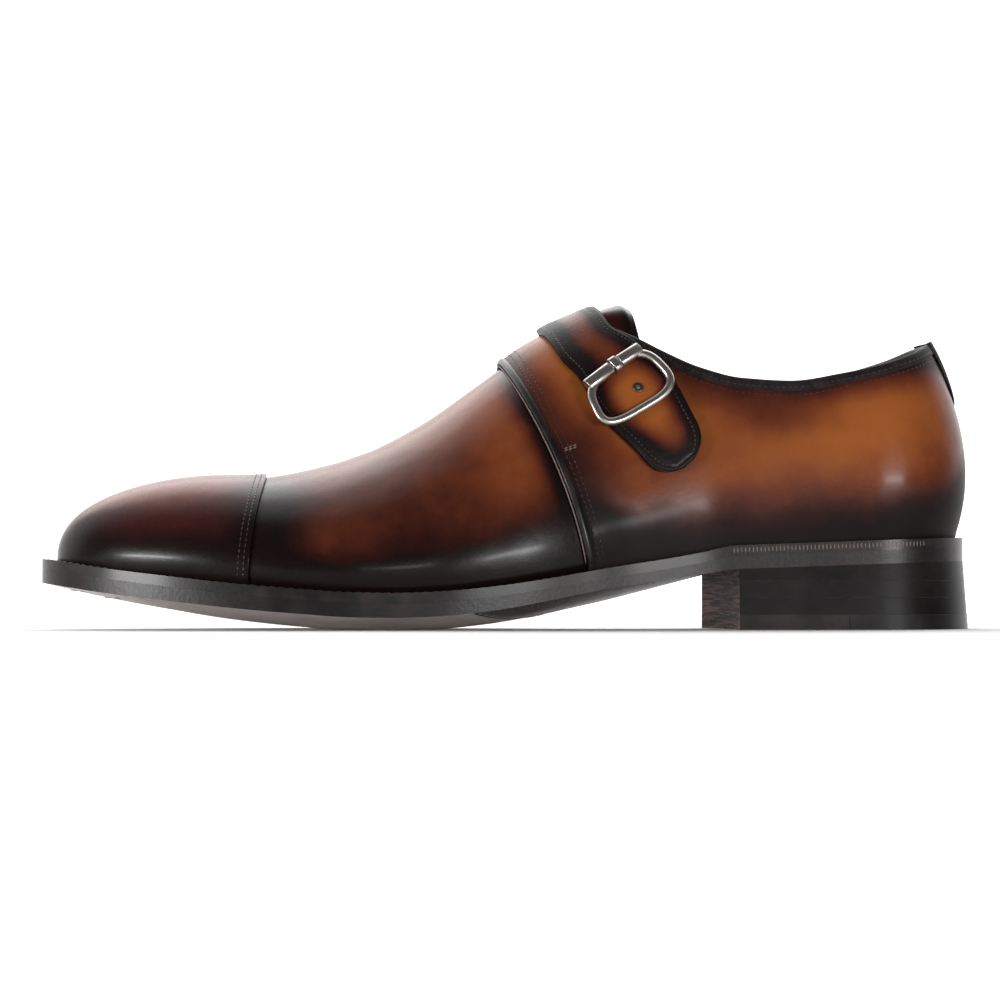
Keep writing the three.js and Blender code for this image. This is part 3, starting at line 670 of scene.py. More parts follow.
def quarter_columns(side):
    """(bottom station, top station, top v) from the front edge to the back seam."""
    columns = []
    for k in range(RIDGE_COLUMNS):
        t = k / RIDGE_COLUMNS
        columns.append((lerp(QUARTER_EDGE, TURN_AT, t), lerp(RIDGE_FRONT, COLLAR_FRONT, t), 1.0))
    for k in range(COLLAR_COLUMNS):
        t = k / COLLAR_COLUMNS
        top = lerp(COLLAR_FRONT, HEEL_CENTRE, t ** 1.5)
        columns.append((lerp(TURN_AT, HEEL_CENTRE, t ** 1.15), top, collar_v(top, side)))
    for k in range(HEEL_COLUMNS + 1):
        u = HEEL_CENTRE * (1 - k / HEEL_COLUMNS)
        columns.append((u, u, collar_v(u, side)))
    return columns


def column_spot(column, f):
    """Station and v at the fraction f of a column's way up."""
    bottom, top, v_top = column
    v = f * v_top
    share = lean_share(v, 1.35) / lean_share(v_top, 1.35)
    return bottom + (top - bottom) * share, v


def both_sides(columns_of):
    lateral = [(column, -1) for column in columns_of(-1)]
    medial = [(column, 1) for column in columns_of(1)]
    return lateral + medial[::-1][1:]


def skin_piece(name, columns, rise, offset_of, shade_of):
    """Leather over the last, from columns of (column, side) and steps up."""
    def spot(i, j):
        column, side = columns[i]
        u, v = column_spot(column, rise[j])
        return u, v, side

    def position(i, j):
        u, v, side = spot(i, j)
        point = skin(u, v, side, offset_of(i, j, u, v, side))
        return place(point.x, point.y, point.z - foot_drop(v))

    def marks(i, j):
        u, v, side = spot(i, j)
        return {"shade": shade_of(i, j, u, v, side)}

    return panel(name, len(columns) - 1, len(rise) - 1, position, marks)


print("columns of each quarter:", len(quarter_columns(1)))


# %% [markdown]
# Where the cloth rubbed in more cream is a matter of distances: to the top line, to the
# welt, to the front edge and to the back seam. Each one gives a soft dark band, and the
# bands add up.

# %% Quarters
def band(distance, wide, strong):
    """Dark cream rubbed in along an edge, fading over this many millimetres."""
    return strong * math.exp(-((max(distance, 0) / wide) ** 2))


QUARTER_TAN = 0.06
ARCH_MM = 92
DARK_PATCHES = [
    # darker patches on the quarter: place, half sizes and strength
    {"station": 127, "v": 0.34, "long": 9, "tall": 0.1, "strong": 0.2},
    {"station": 104, "v": 0.25, "long": 17, "tall": 0.06, "strong": 0.4},
    {"station": 60, "v": 0.3, "long": 22, "tall": 0.035, "strong": 0.16},
    {"station": 30, "v": 0.55, "long": 14, "tall": 0.05, "strong": 0.2},
]


def quarter_shade(u, v, top_gap, front_gap, back_gap):
    shade = QUARTER_TAN
    shade += band(top_gap, 9 + 7 * math.exp(-(((u - 80) / 20) ** 2)), 0.75)
    shade += band(v * 85, 13, 0.95)
    shade += band(front_gap, lerp(15, 8, smooth(v, 0.3, 0.8)), 0.72)
    shade += band(back_gap, 20, 0.6)
    for spot in DARK_PATCHES:
        near = ((u - spot["station"]) / spot["long"]) ** 2 + ((v - spot["v"]) / spot["tall"]) ** 2
        shade += spot["strong"] * math.exp(-near)
    return shade


def quarter_front_gap(u, v):
    return max(leaned(QUARTER_EDGE, v) - u, 0)


def quarter_shades(i, j, u, v, side):
    point = last_point(u, v, side)
    top = collar_height(point.x, point.y) if u < COLLAR_FRONT else 140
    back = math.hypot(point.x - 5, point.y * 0.6)
    return quarter_shade(u, v, top - point.z, quarter_front_gap(u, v), back)


print("shade beside the top line:", round(quarter_shade(60, 0.5, 1, 60, 60), 2))

# %% [markdown]
# The strap pulls two shallow folds into the quarter below it, running back from the front
# edge. They are listed as soft troughs, each with its ends, depth and half width.
# The front edge itself is folded over, so it stands a little proud.

# %% Folds and quarters
FOLDS = [
    # from and to as (station, v), then depth and half width in millimetres
    {"start": (133, 0.335), "end": (112, 0.3), "deep": 0.28, "wide": 1.5},
    {"start": (120, 0.2), "end": (100, 0.24), "deep": 0.18, "wide": 2.4},
]
EDGE_ROLL = 0.35


def fold_depth(u, v):
    """How deep the hand-placed folds press the leather in at this place."""
    depth = 0.0
    for fold in FOLDS:
        start = Vector((fold["start"][0], fold["start"][1] * ARCH_MM))
        along = Vector((fold["end"][0], fold["end"][1] * ARCH_MM)) - start
        here = Vector((u, v * ARCH_MM)) - start
        share = here.dot(along) / along.length_squared
        off = (here - along * clamp(share)).length / fold["wide"]
        depth += fold["deep"] * math.exp(-off * off) * math.sin(math.pi * clamp(share)) ** 0.5
    return depth


def quarter_offset(i, j, u, v, side):
    """The roll along the front edge, less the folds."""
    gap = quarter_front_gap(u, v)
    return EDGE_ROLL * math.exp(-(((gap - 1.1) / 1.1) ** 2)) - fold_depth(u, v)


quarters = skin_piece("quarters", both_sides(quarter_columns), even_steps(0, 1, 56),
                      quarter_offset, quarter_shades)
thicken(quarters, 1.5, 0.45)
dress(quarters, quarter_leather, ["upper"])
print("quarters:", len(quarters.data.vertices), "points")

# %% [markdown]
# The vamp covers the front of the foot. It runs under the quarters at its back and under
# the toe cap at its front, so it lies lower near both. Walking has not creased this pair
# yet, but the last leaves two shallow troughs across the joint of the toes.

# %% Vamp
VAMP_STATIONS = even_steps(CAP_EDGE + 5, QUARTER_EDGE - 7, 76)
UNDER_QUARTER, UNDER_CAP, DIP_LENGTH = 1.7, 1.2, 16
ARCH_STEPS = 48


def arch_piece(name, stations, offset_of, shade_of):
    """Leather that crosses the ridge: rows at seam stations, columns over the arch."""
    places = [k / ARCH_STEPS - 1 for k in range(2 * ARCH_STEPS + 1)]

    def spot(i, j):
        a = places[j]
        side = -1 if a < 0 else 1
        v = 1 - abs(a)
        return leaned(stations[i], v), v, side

    def position(i, j):
        u, v, side = spot(i, j)
        point = skin(min(u, TOE_TIP), v, side, offset_of(stations[i], v, side))
        return place(point.x, point.y, point.z - foot_drop(v))

    def marks(i, j):
        u, v, side = spot(i, j)
        return {"shade": shade_of(stations[i], u, v, side)}

    return panel(name, len(stations) - 1, len(places) - 1, position, marks)


CREASES = [
    {"station": 186, "deep": 0.16, "wide": 5.0},
    {"station": 200, "deep": 0.12, "wide": 6.0},
]


def vamp_offset(station, v, side):
    near_quarter = UNDER_QUARTER * math.exp(-max(station - QUARTER_EDGE, 0) / DIP_LENGTH)
    near_cap = UNDER_CAP * math.exp(-max(CAP_EDGE - station, 0) / DIP_LENGTH)
    crease = sum(row["deep"] * math.exp(-(((station - row["station"]) / row["wide"]) ** 2)) * v
                 for row in CREASES)
    return -max(near_quarter, near_cap) - crease


def vamp_shade(station, u, v, side):
    shade = 0.65
    shade -= 0.32 * math.exp(-(((station - 143) / 12) ** 2)) * math.exp(-(((v - 0.4) / 0.25) ** 2))
    # lighter toward the ridge: partly a lighter dye, partly a painted reflection of the bright sky
    shade -= 0.3 * smooth(v, 0.5, 0.85)
    shade += band(CAP_EDGE - station, 15, lerp(0.5, 0.25, smooth(v, 0.4, 0.8)))
    shade += band(station - QUARTER_EDGE, 4, 0.5)
    shade += band(v * 70, 10, 0.65)
    return shade


vamp = arch_piece("vamp", VAMP_STATIONS, vamp_offset, vamp_shade)
thicken(vamp, 1.1)
dress(vamp, upper_leather)
print("vamp:", len(vamp.data.vertices), "points")

# %% [markdown]
# The toe cap is a second layer over the toe, with a straight cut edge. It is the darkest
# panel low down, and its crown is a lighter red brown, partly its rubbed-back colour and
# partly a painted reflection of the bright sky, and it is polished until it shines.

# %% Toe cap
CAP_STATIONS = [TOE_TIP - (TOE_TIP - CAP_EDGE - 0.35) * (k / 60) ** 1.7 for k in range(61)]


def cap_shade(station, u, v, side):
    # lighter toward the crown: partly rubbed-back colour, partly a painted reflection of the sky
    shade = 0.55 - 0.5 * smooth(v, 0.42, 0.75)
    shade += band(station - CAP_EDGE, 9, 0.4)
    shade += band(v * 45, 11, 0.6)
    shade += band(TOE_TIP - station, 14, 0.35)
    return shade


toe_cap = arch_piece("toe_cap_leather", CAP_STATIONS, lambda station, v, side: 0.0, cap_shade)
thicken(toe_cap, 1.2, 0.35)
dress(toe_cap, cap_leather, ["toe_cap"])
print("toe cap:", len(toe_cap.data.vertices), "points")

# %% [markdown]
# Inside, the shoe is lined with undyed calf. The lining follows the last one wall below
# the outside, and it is all that shows through the collar.

# %% Lining
LINING = 0.6


def lining_columns(side):
    front = [(u, u + LEAN["lean"](u), 1.0)
             for u in end_steps(TOE_TIP - 3.5, QUARTER_EDGE + 3, 34)]
    return front + quarter_columns(side)[::2] + [(0.0, 0.0, collar_v(0.0, side))]


lining_sides = both_sides(lining_columns)
lining = skin_piece("lining", lining_sides, even_steps(0, 1, 30),
                    lambda i, j, u, v, side: LINING - WALL,
                    lambda i, j, u, v, side: 0.0)
thicken(lining, LINING, even=False)
dress(lining, lining_leather)
print("lining:", len(lining.data.vertices), "points")

# %% [markdown]
# The top line is bound with a narrow black strip that is folded over the edge and sewn
# through. Its path is the top of the quarters' columns, and at each point of the path a
# small hairpin section is set up from the skin's normal and the way down.

# %% Binding
def top_path(side):
    """(station, v, side) along the top line, from the front to the back seam."""
    return [(top, v, side) for _, top, v in quarter_columns(side)[RIDGE_COLUMNS:]]


BINDING = [
    # (how far out from the skin, how far up from the top line)
    (0.0, -3.3), (0.42, -3.1), (0.5, -2.6), (0.5, -1.2), (0.48, -0.4), (0.2, 0.25),
    (-0.5, 0.62), (-WALL / 2, 0.72), (-WALL + 0.5, 0.62), (-WALL - 0.2, 0.25),
    (-WALL - 0.48, -0.4), (-WALL - 0.5, -2.6), (-WALL - 0.42, -3.1), (-WALL, -3.3),
]


def top_frame(u, v, side):
    """Point on the top line, outward normal, and the way up along the skin."""
    point = last_point(u, v, side)
    normal = last_normal(u, min(v, 0.99), side)
    if u <= HEEL_CENTRE and v > 0.985:
        normal = Vector((0, 0, 1))
    below = last_point(u, v - 0.03, side)
    up = (point - below).normalized()
    return point, normal, up


def sweep(rings, closed_path, closed_section):
    """A skin through rings of points, made as a grid and closed where asked."""
    count, wide = len(rings), len(rings[0])

    def position(i, j):
        return rings[i % count][j % wide]

    columns = count if closed_path else count - 1
    rows = wide if closed_section else wide - 1
    return mapped_grid(columns, rows, position)


collar_spots = top_path(-1) + top_path(1)[::-1][1:-1]
collar_frames = [top_frame(*spot) for spot in collar_spots]


def hairpin_rings(frames, section_points):
    rings = []
    count = len(frames)
    for k, (point, normal, up) in enumerate(frames):
        along = (frames[(k + 1) % count][0] - frames[k - 1][0]).normalized()
        rise = (up - along * up.dot(along)).normalized()
        out = (normal - along * normal.dot(along) - rise * normal.dot(rise)).normalized()
        rings.append([place(*(point + out * o + rise * r)) for o, r in section_points])
    return rings


binding_bm = sweep(hairpin_rings(collar_frames, BINDING), True, False)
facing_out(binding_bm, part_centre)
binding = finish_mesh("collar_binding", binding_bm)
dress(binding, binding_leather)
print("binding goes through", len(collar_frames), "places")

# %% [markdown]
# The sole is made of flat layers cut to one outline: the outsole and, on top of it, the
# midsole that carries the welt. A grid is laid over the outline, pushed down to give the
# layer its thickness, and its sharp edges are rounded, as a sole is trimmed and waxed.

# %% Sole layers
WAIST_FRONT, WAIST_POINT = 168, 140
LAYER_GAP = 0.02


def waist_ink(s, t):
    """Black ink rubbed in from both sides of the waist, up to a pointed front line."""
    edge = (1 - abs(t)) * 30
    front = lerp(WAIST_POINT, WAIST_FRONT, abs(t))
    return math.exp(-((edge / 14) ** 2)) * (1 - smooth(s - front, -3, 1))


def sole_piece(name, bottom, top, inset, columns, rows, edge):
    stations = end_steps(SEAT_BACK + inset, LENGTH - inset, columns)

    def at(i, j, height):
        s, t = stations[i], 2 * j / rows - 1
        return place(s, across_sole(s, t, inset), height(s, t))

    bm = bmesh.new()
    ink = bm.verts.layers.float.new("shade")
    bmesh.ops.create_grid(bm, x_segments=columns, y_segments=rows, size=0.5)
    spots = {vert: (round((vert.co.x + 0.5) * columns), round((vert.co.y + 0.5) * rows))
             for vert in bm.verts}
    grown = bmesh.ops.extrude_face_region(bm, geom=bm.faces[:])
    lower = [item for item in grown["geom"] if isinstance(item, bmesh.types.BMVert)]
    where = {tuple(round(x, 5) for x in vert.co): spot for vert, spot in spots.items()}
    for vert in lower:
        spot = where[tuple(round(x, 5) for x in vert.co)]
        vert.co = at(*spot, bottom)
        vert[ink] = waist_ink(stations[spot[0]], 2 * spot[1] / rows - 1)
    for vert, spot in spots.items():
        vert.co = at(*spot, top)
    bmesh.ops.remove_doubles(bm, verts=bm.verts, dist=2e-6)
    bmesh.ops.dissolve_degenerate(bm, dist=1e-7, edges=bm.edges)
    bmesh.ops.recalc_face_normals(bm, faces=bm.faces)
    obj = finish_mesh(name, bm)
    round_edges(obj, edge, 3, True)
    return obj


outsole = sole_piece("outsole_leather", outsole_bottom, outsole_top, 0.0, 200, 24, 0.7)
midsole = sole_piece("midsole_edge", lambda s, t: outsole_top(s, t) + LAYER_GAP, midsole_top,
                     0.0, 200, 12, 0.6)
insole = sole_piece("insole_sock", lambda s, t: midsole_top(s, t) + GAP,
                    lambda s, t: midsole_top(s, t) + GAP + INSOLE, INSOLE_INSET, 90, 10, 0.6)
dress(midsole, black_edge, ["midsole"])
dress(insole, lining_leather, ["insole"])
print("sole layers:", outsole.name, midsole.name, insole.name)

# %% [markdown]
# The outsole shows two finishes. Its underside is bare, pale leather, and its edge is inked
# black. The ink also runs in from both sides under the waist and ends in a pointed line.
# Whether a spot looks down decides which finish it gets.

# %% Outsole finish
def sole_finish(name):
    """Pale leather underneath, black ink at the edge and in the waist."""
    material, place_on, shader = new_material(name)
    face = place_on.make("ShaderNodeNewGeometry", {}, None, 1)
    under = (face.part(2) * -1).step(0.55, 0.85)
    cloud = place_on.noise(60.0, 5.0, 0.6)
    fibre = place_on.noise(900.0, 3.0, 0.6)
    inked = (mark(place_on, "shade") + (cloud - 0.5) * 0.4).step(0.1, 0.7)
    pale = cloud.step(0.35, 0.7).mix(rgb(0.52, 0.46, 0.44), rgb(0.42, 0.36, 0.34))
    ink = cloud.step(0.3, 0.7).mix(INK_DEEP, INK_WORN)
    link((under * (1 - inked)).mix(ink, pale), shader, "Base Color")
    shader.inputs["Specular IOR Level"].default_value = 0.2
    link(cloud * 0.12 + fibre * 0.08 + 0.24, shader, "Roughness")
    bump(fibre + cloud, shader, 0.2, 0.0003)
    return material


dress(outsole, sole_finish("outsole leather"), ["outsole"])
print("outsole finish:", outsole.data.materials[0].name)

# %% [markdown]
# The heel is a stack of leather lifts. Each one is a flat ring of points, filled and
# pulled up to the next, with its rims rounded a little so that the joints show as fine
# grooves under the wax. The ring follows the sole's outline, a little wider toward the
# floor, and its front, the breast, is hollowed.

# %% Heel rings
TOP_PIECE = 4.8
LIFT = 5.5
JOINT_LATERAL = 45.5
JOINT_MEDIAL = 28
HEEL_NOTCH = 76
BREAST_HOLLOW, BREAST_SLANT, BREAST_STEPS = 4, 2.5, 22
BREAST_MEDIAL = 25


def heel_inset(z):
    return lerp(-SEAT_BACK, 0, z / SEAT_HEIGHT)


def heel_side(z, side, start, end):
    """Points of one side of the heel's outline, from its back end to its front end."""
    inset = heel_inset(z)
    return [(s, outline(s, side, inset)) for s in end_steps(start or SEAT_BACK + inset, end, 44)]


def heel_ring(z, from_lateral=HEEL_BREAST - 1, to_medial=HEEL_NOTCH, breast=True,
              backs=(None, None)):
    """The heel's outline at this height, between the given stations on each side."""
    medial = heel_side(z, 1, backs[1], to_medial)
    ring = heel_side(z, -1, backs[0], from_lateral)[::-1] + medial[0 if backs[0] else 1:]
    if breast:
        start = outline(from_lateral, -1, heel_inset(z))
        for k in range(BREAST_STEPS):
            share = k / BREAST_STEPS
            bow = 1 - (1 - 2 * share) ** 2
            ring.append((from_lateral - BREAST_HOLLOW * bow + BREAST_SLANT * (1 - share),
                         lerp(BREAST_MEDIAL, start, share)))
    return ring


def stack_piece(name, bottom_ring, top_ring, bottom, top):
    """A layer of the heel between two rings, at heights that the station gives."""
    bm = bmesh.new()
    verts = [bm.verts.new(place(s, y, bottom(s))) for s, y in bottom_ring]
    face = bm.faces.new(verts)
    places = {tuple(round(x, 6) for x in vert.co): k for k, vert in enumerate(verts)}
    grown = bmesh.ops.extrude_face_region(bm, geom=[face], use_keep_orig=True)
    for vert in [item for item in grown["geom"] if isinstance(item, bmesh.types.BMVert)]:
        s, y = top_ring[places[tuple(round(x, 6) for x in vert.co)]]
        vert.co = place(s, y, top(s))
    bmesh.ops.recalc_face_normals(bm, faces=bm.faces)
    obj = finish_mesh(name, bm)
    round_edges(obj, 0.16, 2, True)
    return obj


print("points round the heel:", len(heel_ring(0)))

# %% [markdown]
# The wax covers the heel's sides only. Its breast is left as bare leather, where the lifts
# and their fibres show as fine level lines, and its underside is pale leather in front of a
# slanted joint and grey rubber behind it.

# %% Heel finishes and layers
BARE_LIGHT, BARE_DARK = rgb(0.6, 0.55, 0.53), rgb(0.5, 0.45, 0.43)
RUBBER_LIGHT, RUBBER_DARK = rgb(0.33, 0.3, 0.295), rgb(0.24, 0.22, 0.215)
JOINT_GAP = 0.12


def heel_finish(name, under_light, under_dark, wax_light):
    """Black wax on the sides, bare stacked leather on the breast, and its own underside."""
    material, place_on, shader = new_material(name)
    face = place_on.make("ShaderNodeNewGeometry", {}, None, 1)
    toeward = (face.part(0) * -1).step(0.75, 0.92)
    down = (face.part(2) * -1).step(0.7, 0.9)
    cloud = place_on.noise(90.0, 5.0, 0.6)
    flat = place_on.make("ShaderNodeMapping", {}, {"Vector": place_on, "Scale": (90, 90, 1500)})
    layers = flat.noise(1.0, 4.0, 0.7)
    wax = cloud.step(0.3, 0.75).mix(darker(wax_light, 0.4), wax_light)
    stack = layers.step(0.42, 0.62).mix(rgb(0.012, 0.007, 0.006), rgb(0.13, 0.08, 0.07))
    under = cloud.step(0.35, 0.7).mix(under_light, under_dark)
    link(down.mix(toeward.mix(wax, stack), under), shader, "Base Color")
    link(cloud * 0.14 + toeward * 0.3 + down * 0.25 + 0.3, shader, "Roughness")
    shader.inputs["Specular IOR Level"].default_value = 0.09
    bump(layers * 0.8 * toeward + cloud, shader, 0.25, 0.0004)
    return material


heel_black = heel_finish("waxed heel stack", BARE_LIGHT, BARE_DARK, rgb(0.012, 0.0095, 0.009))
top_leather = heel_finish("top piece leather", BARE_LIGHT, BARE_DARK, rgb(0.035, 0.03, 0.028))
heel_rubber = heel_finish("heel rubber", RUBBER_LIGHT, RUBBER_DARK, rgb(0.03, 0.027, 0.026))

for level in range(3):
    low, high = TOP_PIECE + level * LIFT, TOP_PIECE + (level + 1) * LIFT
    top_of = (lambda s, z=high: z) if level < 2 else (lambda s: edge_height(s) + 0.06)
    piece = stack_piece(f"heel_layer_{level + 1}", heel_ring(low), heel_ring(top_of(0)),
                        lambda s, z=low: z, top_of)
    dress(piece, heel_black, [f"heel_lift_{level + 1}"])
joint_backs = (JOINT_LATERAL + JOINT_GAP, JOINT_MEDIAL + JOINT_GAP)
front_rings = [heel_ring(z, backs=joint_backs) for z in (0, TOP_PIECE)]
rear_rings = [heel_ring(z, JOINT_LATERAL, JOINT_MEDIAL, False) for z in (0, TOP_PIECE)]
top_front = stack_piece("top_piece_leather", *front_rings, lambda s: 0, lambda s: TOP_PIECE)
top_rear = stack_piece("top_piece_rubber", *rear_rings, lambda s: 0, lambda s: TOP_PIECE)
dress(top_front, top_leather, ["top_piece_front"])
dress(top_rear, heel_rubber, ["top_piece_rear"])
print("heel height at the back, mm:", round(edge_height(0), 1))

# %% [markdown]
# The strap comes over the instep from the inner side and ends in a round tip on the outer
# side. Its table gives both edges as places on the last, for t from -1 at the sewn inner
# end to 1 at the tip. It is two leathers thick, with a black cut edge that is pressed down
# along the row of stitches.

# %% Strap
STRAP = table("front_s front_a back_s back_a", [
    (-1, 109.5, 0.77, 92.5, 0.69),
    (-0.8, 118, 0.655, 100.2, 0.57),
    (-0.65, 124.8, 0.55, 106.4, 0.475),
    (-0.5, 130.6, 0.44, 112.6, 0.375),
    (-0.3, 136.2, 0.285, 119.4, 0.245),
    (0, 140.5, 0, 122.5, 0),
    (0.3, 136.6, -0.31, 119.8, -0.26),
    (0.5, 131.2, -0.445, 111, -0.405),
    (0.65, 125.2, -0.605, 102, -0.535),
    (0.8, 111.6, -0.757, 94.6, -0.675),
    (1, 105.8, -0.826, 89.3, -0.745),
])
STRAP_THICKNESS = 2.3
STRAP_ROUND = 0.78
STRAP_CROWN = 0.45
TIP_MM = 12.0
CROSS_SEAM = -0.735
STRAP_SEAM = 2.1


def end_round(t):
    """Share of its width that the strap has at t, less than 1 only in its round ends."""
    return round_off((abs(t) - STRAP_ROUND) / (1 - STRAP_ROUND), 2)


def strap_spot(t, w, offset):
    """Point of the strap; w runs from 0 at its back edge to 1 at its front edge."""
    mix = 0.5 + (w - 0.5) * end_round(t)
    s = lerp(STRAP["back_s"](t), STRAP["front_s"](t), mix)
    a = lerp(STRAP["back_a"](t), STRAP["front_a"](t), mix)
    return arch(s, a, offset)


def strap_width(t):
    return (strap_spot(t, 0, 1) - strap_spot(t, 1, 1)).length


strap_ends = end_steps(STRAP_ROUND, 1, 26)[13:]
strap_ts = ([-t for t in strap_ends[::-1]] + even_steps(-strap_ends[0], strap_ends[0], 90)[1:-1]
            + strap_ends)
strap_ws = end_steps(0, 1, 26)


def strap_edge_gap(t, w):
    """About how far this place is from the strap's edge, in millimetres."""
    half = 9.5 * (1 - abs(2 * w - 1)) * end_round(t)
    return min(half, TIP_MM * (1 - abs(t)) / (1 - STRAP_ROUND))


def strap_top(t, w):
    """Height of the strap's top: low at its edge, and pressed in along the stitches."""
    gap = strap_edge_gap(t, w)
    groove = 0.2 * math.exp(-(((gap - STRAP_SEAM) / 0.6) ** 2))
    return GAP + STRAP_THICKNESS - STRAP_CROWN * (1 - smooth(gap, 0.0, 1.4)) - groove


def strap_marks(i, j):
    t, w = strap_ts[i], strap_ws[j]
    gap = strap_edge_gap(t, w)
    under_buckle = math.exp(-(((t - 0.66) / 0.1) ** 2))
    shade = lerp(0.14, 0.42, smooth(t, -0.3, 0.05)) - 0.4 * under_buckle
    shade += 0.22 * smooth(t, 0.78, 0.9)
    shade += band((1 - w) * 19, 9, 0.35) * smooth(t, -0.2, 0.1) * (1 - under_buckle)
    shade += band(abs(t - CROSS_SEAM) * 55, 2.2, 0.7)
    return {"shade": shade + band(gap, 4.6, 1.0)}


def strap_place(i, j):
    t, w = strap_ts[i], strap_ws[j]
    return place(*strap_spot(t, w, strap_top(t, w)))


strap = panel("strap_leather", len(strap_ts) - 1, len(strap_ws) - 1, strap_place, strap_marks)
thicken(strap, STRAP_THICKNESS - STRAP_CROWN, 0.5)
dress(strap, strap_leather, ["strap"])
print("strap width at the ridge, mm:", round(strap_width(0), 1))

# %% [markdown]
# The tongue lies under the quarters and comes up behind the strap, where its end stands
# free. There it follows the width of the opening and rises a little off the foot, with a
# rounded end.

# %% Tongue
TONGUE_REACH = 0.42
TONGUE_END = 112
TONGUE_RISE = 3.7
tongue_rows = even_steps(150, TONGUE_END, 50)
tongue_cols = even_steps(-TONGUE_REACH, TONGUE_REACH, 40)


def tongue_spot(s, a):
    side = abs(a) / TONGUE_REACH
    sweep_back = 3.0 * side ** 2 * smooth(-s, -130, -TONGUE_END)
    u = s - sweep_back
    opening = max(1 - collar_v(u, -1 if a < 0 else 1), 0.03)
    free = smooth(COLLAR_FRONT - u, 0.5, 4.5)
    rise = TONGUE_RISE * free * (1 - smooth(abs(a) / opening, 0.45, 1.0))
    rise -= 1.8 * (1 - smooth(s - TONGUE_END, 0, 3.6)) ** 2
    return arch(u, a, rise - WALL - 0.75)


def tongue_marks(i, j):
    gap = (TONGUE_REACH - abs(tongue_cols[j])) * 50
    return {"shade": 0.5 + band(min(gap, tongue_rows[i] - TONGUE_END), 4, 0.6)}


tongue = panel("tongue_leather", 50, 40,
               lambda i, j: place(*tongue_spot(tongue_rows[i], tongue_cols[j])), tongue_marks)
thicken(tongue, 1.8, 0.5)
dress(tongue, cap_leather, ["tongue"])
print("tongue:", len(tongue.data.vertices), "points")

# %% [markdown]
# A small tab covers the top of the back seam. It is cut like a shield, skived thin at its
# edges, and sewn over the binding, so it stands highest in its middle.

# %% Back strip
STRIP_TOP, STRIP_LOW = 93.4, 73.0
STRIP_CROWN = 1.15
strip_top_v, strip_low_v = (crossing(0.0, 1.0, lambda v, z=z: last_point(0, v, -1).z < z)
                            for z in (STRIP_TOP, STRIP_LOW))
strip_rows, strip_cols = end_steps(0, 1, 36), even_steps(-1, 1, 20)


def strip_spot(t, c):
    width = lerp(10, 6, t) * round_off((t - 0.75) / 0.25, 2)
    v = lerp(strip_top_v, strip_low_v, t)
    crown = STRIP_CROWN * (1 - abs(c) ** 4) ** 0.5 * (1 - t ** 2) ** 0.8
    return skin(abs(c) * width, v, -1 if c < 0 else 1, GAP + 0.35 + crown)


back_strip = panel("back_strip_leather", 36, 20,
                   lambda i, j: place(*strip_spot(strip_rows[i], strip_cols[j])))
thicken(back_strip, 0.5, 0.2)
dress(back_strip, binding_leather, ["back_strip"])
print("back strip:", len(back_strip.data.vertices), "points")

# %% [markdown]
# The buckle is a rounded loop of thick wire in dark nickel. Four corners, given as places
# on the last, set the loop's tilt, and it stands a little higher at its top bar. The wire
# is a ring of points carried along the loop.

# %% Buckle loop
def metal_finish(name, colour, gloss):
    material, place_on, shader = new_material(name)
    cloud = place_on.noise(300.0, 4.0, 0.6)
    link(cloud.step(0.3, 0.75).mix(colour, darker(colour, 0.72)), shader, "Base Color")
    link(cloud * 0.1 + gloss, shader, "Roughness")
    shader.inputs["Metallic"].default_value = 1.0
    return material


nickel = metal_finish("dark nickel", rgb(0.5, 0.46, 0.42), 0.25)
gunmetal = metal_finish("gunmetal", rgb(0.16, 0.14, 0.11), 0.3)
BUCKLE = {
    "top_front": (129.6, -0.515),
    "top_back": (110.6, -0.44),
    "low_back": (99.6, -0.585),
    "low_front": (124.5, -0.662),
}
WIRE = 2.5
BAR_LIFT = 0.8
BUCKLE_FACING = Vector((0, -0.86, 0.5))
LOOP_SQUARE, WIRE_SQUARE = 3.2, 2.1


def buckle_spot(p, q, height):
    """p runs from the front (-1) to the back (1), q from the top bar (-1) down (1)."""
    def mixed(k):
        top = lerp(BUCKLE["top_front"][k], BUCKLE["top_back"][k], (p + 1) / 2)
        low = lerp(BUCKLE["low_front"][k], BUCKLE["low_back"][k], (p + 1) / 2)
        return lerp(top, low, (q + 1) / 2)
    return arch(mixed(0), mixed(1), height)


def wire_height(q):
    return GAP + STRAP_THICKNESS + GAP + WIRE / 2 + BAR_LIFT * (1 - q) / 2


def cord_ring(point, along, facing, half_wide, half_high, squareness, sides):
    """One ring of points round a wire or cord that runs along this direction."""
    across = along.cross(facing).normalized()
    up = across.cross(along).normalized()
    turns = (squared(2 * math.pi * m / sides, squareness) for m in range(sides))
    return [place(*(point + across * (half_wide * c) + up * (half_high * n)))
            for c, n in turns]


def buckle_path(count=120):
    turns = (squared(2 * math.pi * (k + 0.5) / count, LOOP_SQUARE) for k in range(count))
    return [buckle_spot(p, -q, wire_height(-q)) for p, q in turns]


loop = buckle_path()
loop_rings = [cord_ring(point, (loop[(k + 1) % len(loop)] - loop[k - 1]).normalized(),
                        BUCKLE_FACING, 1.4, 1.2, WIRE_SQUARE, 20)
              for k, point in enumerate(loop)]
buckle_bm = sweep(loop_rings, True, True)
bmesh.ops.recalc_face_normals(buckle_bm, faces=buckle_bm.faces)
buckle = finish_mesh("buckle_loop", buckle_bm)
dress(buckle, nickel, ["buckle_frame"])
print("buckle loop:", len(loop), "rings")

# %% [markdown]
# The top bar carries two sleeves with a bead between them, so that the strap's fold runs
# over it smoothly. Each one is a block whose long edges are rounded widely and whose ends
# are rounded a little. The stud is a flat dark disc, and a small bright nickel disc on it
# is a painted glint.

# %% Sleeves, bead and stud
END_ROUND = 0.22
SLEEVE = (4.4, 3.4, 1.45)


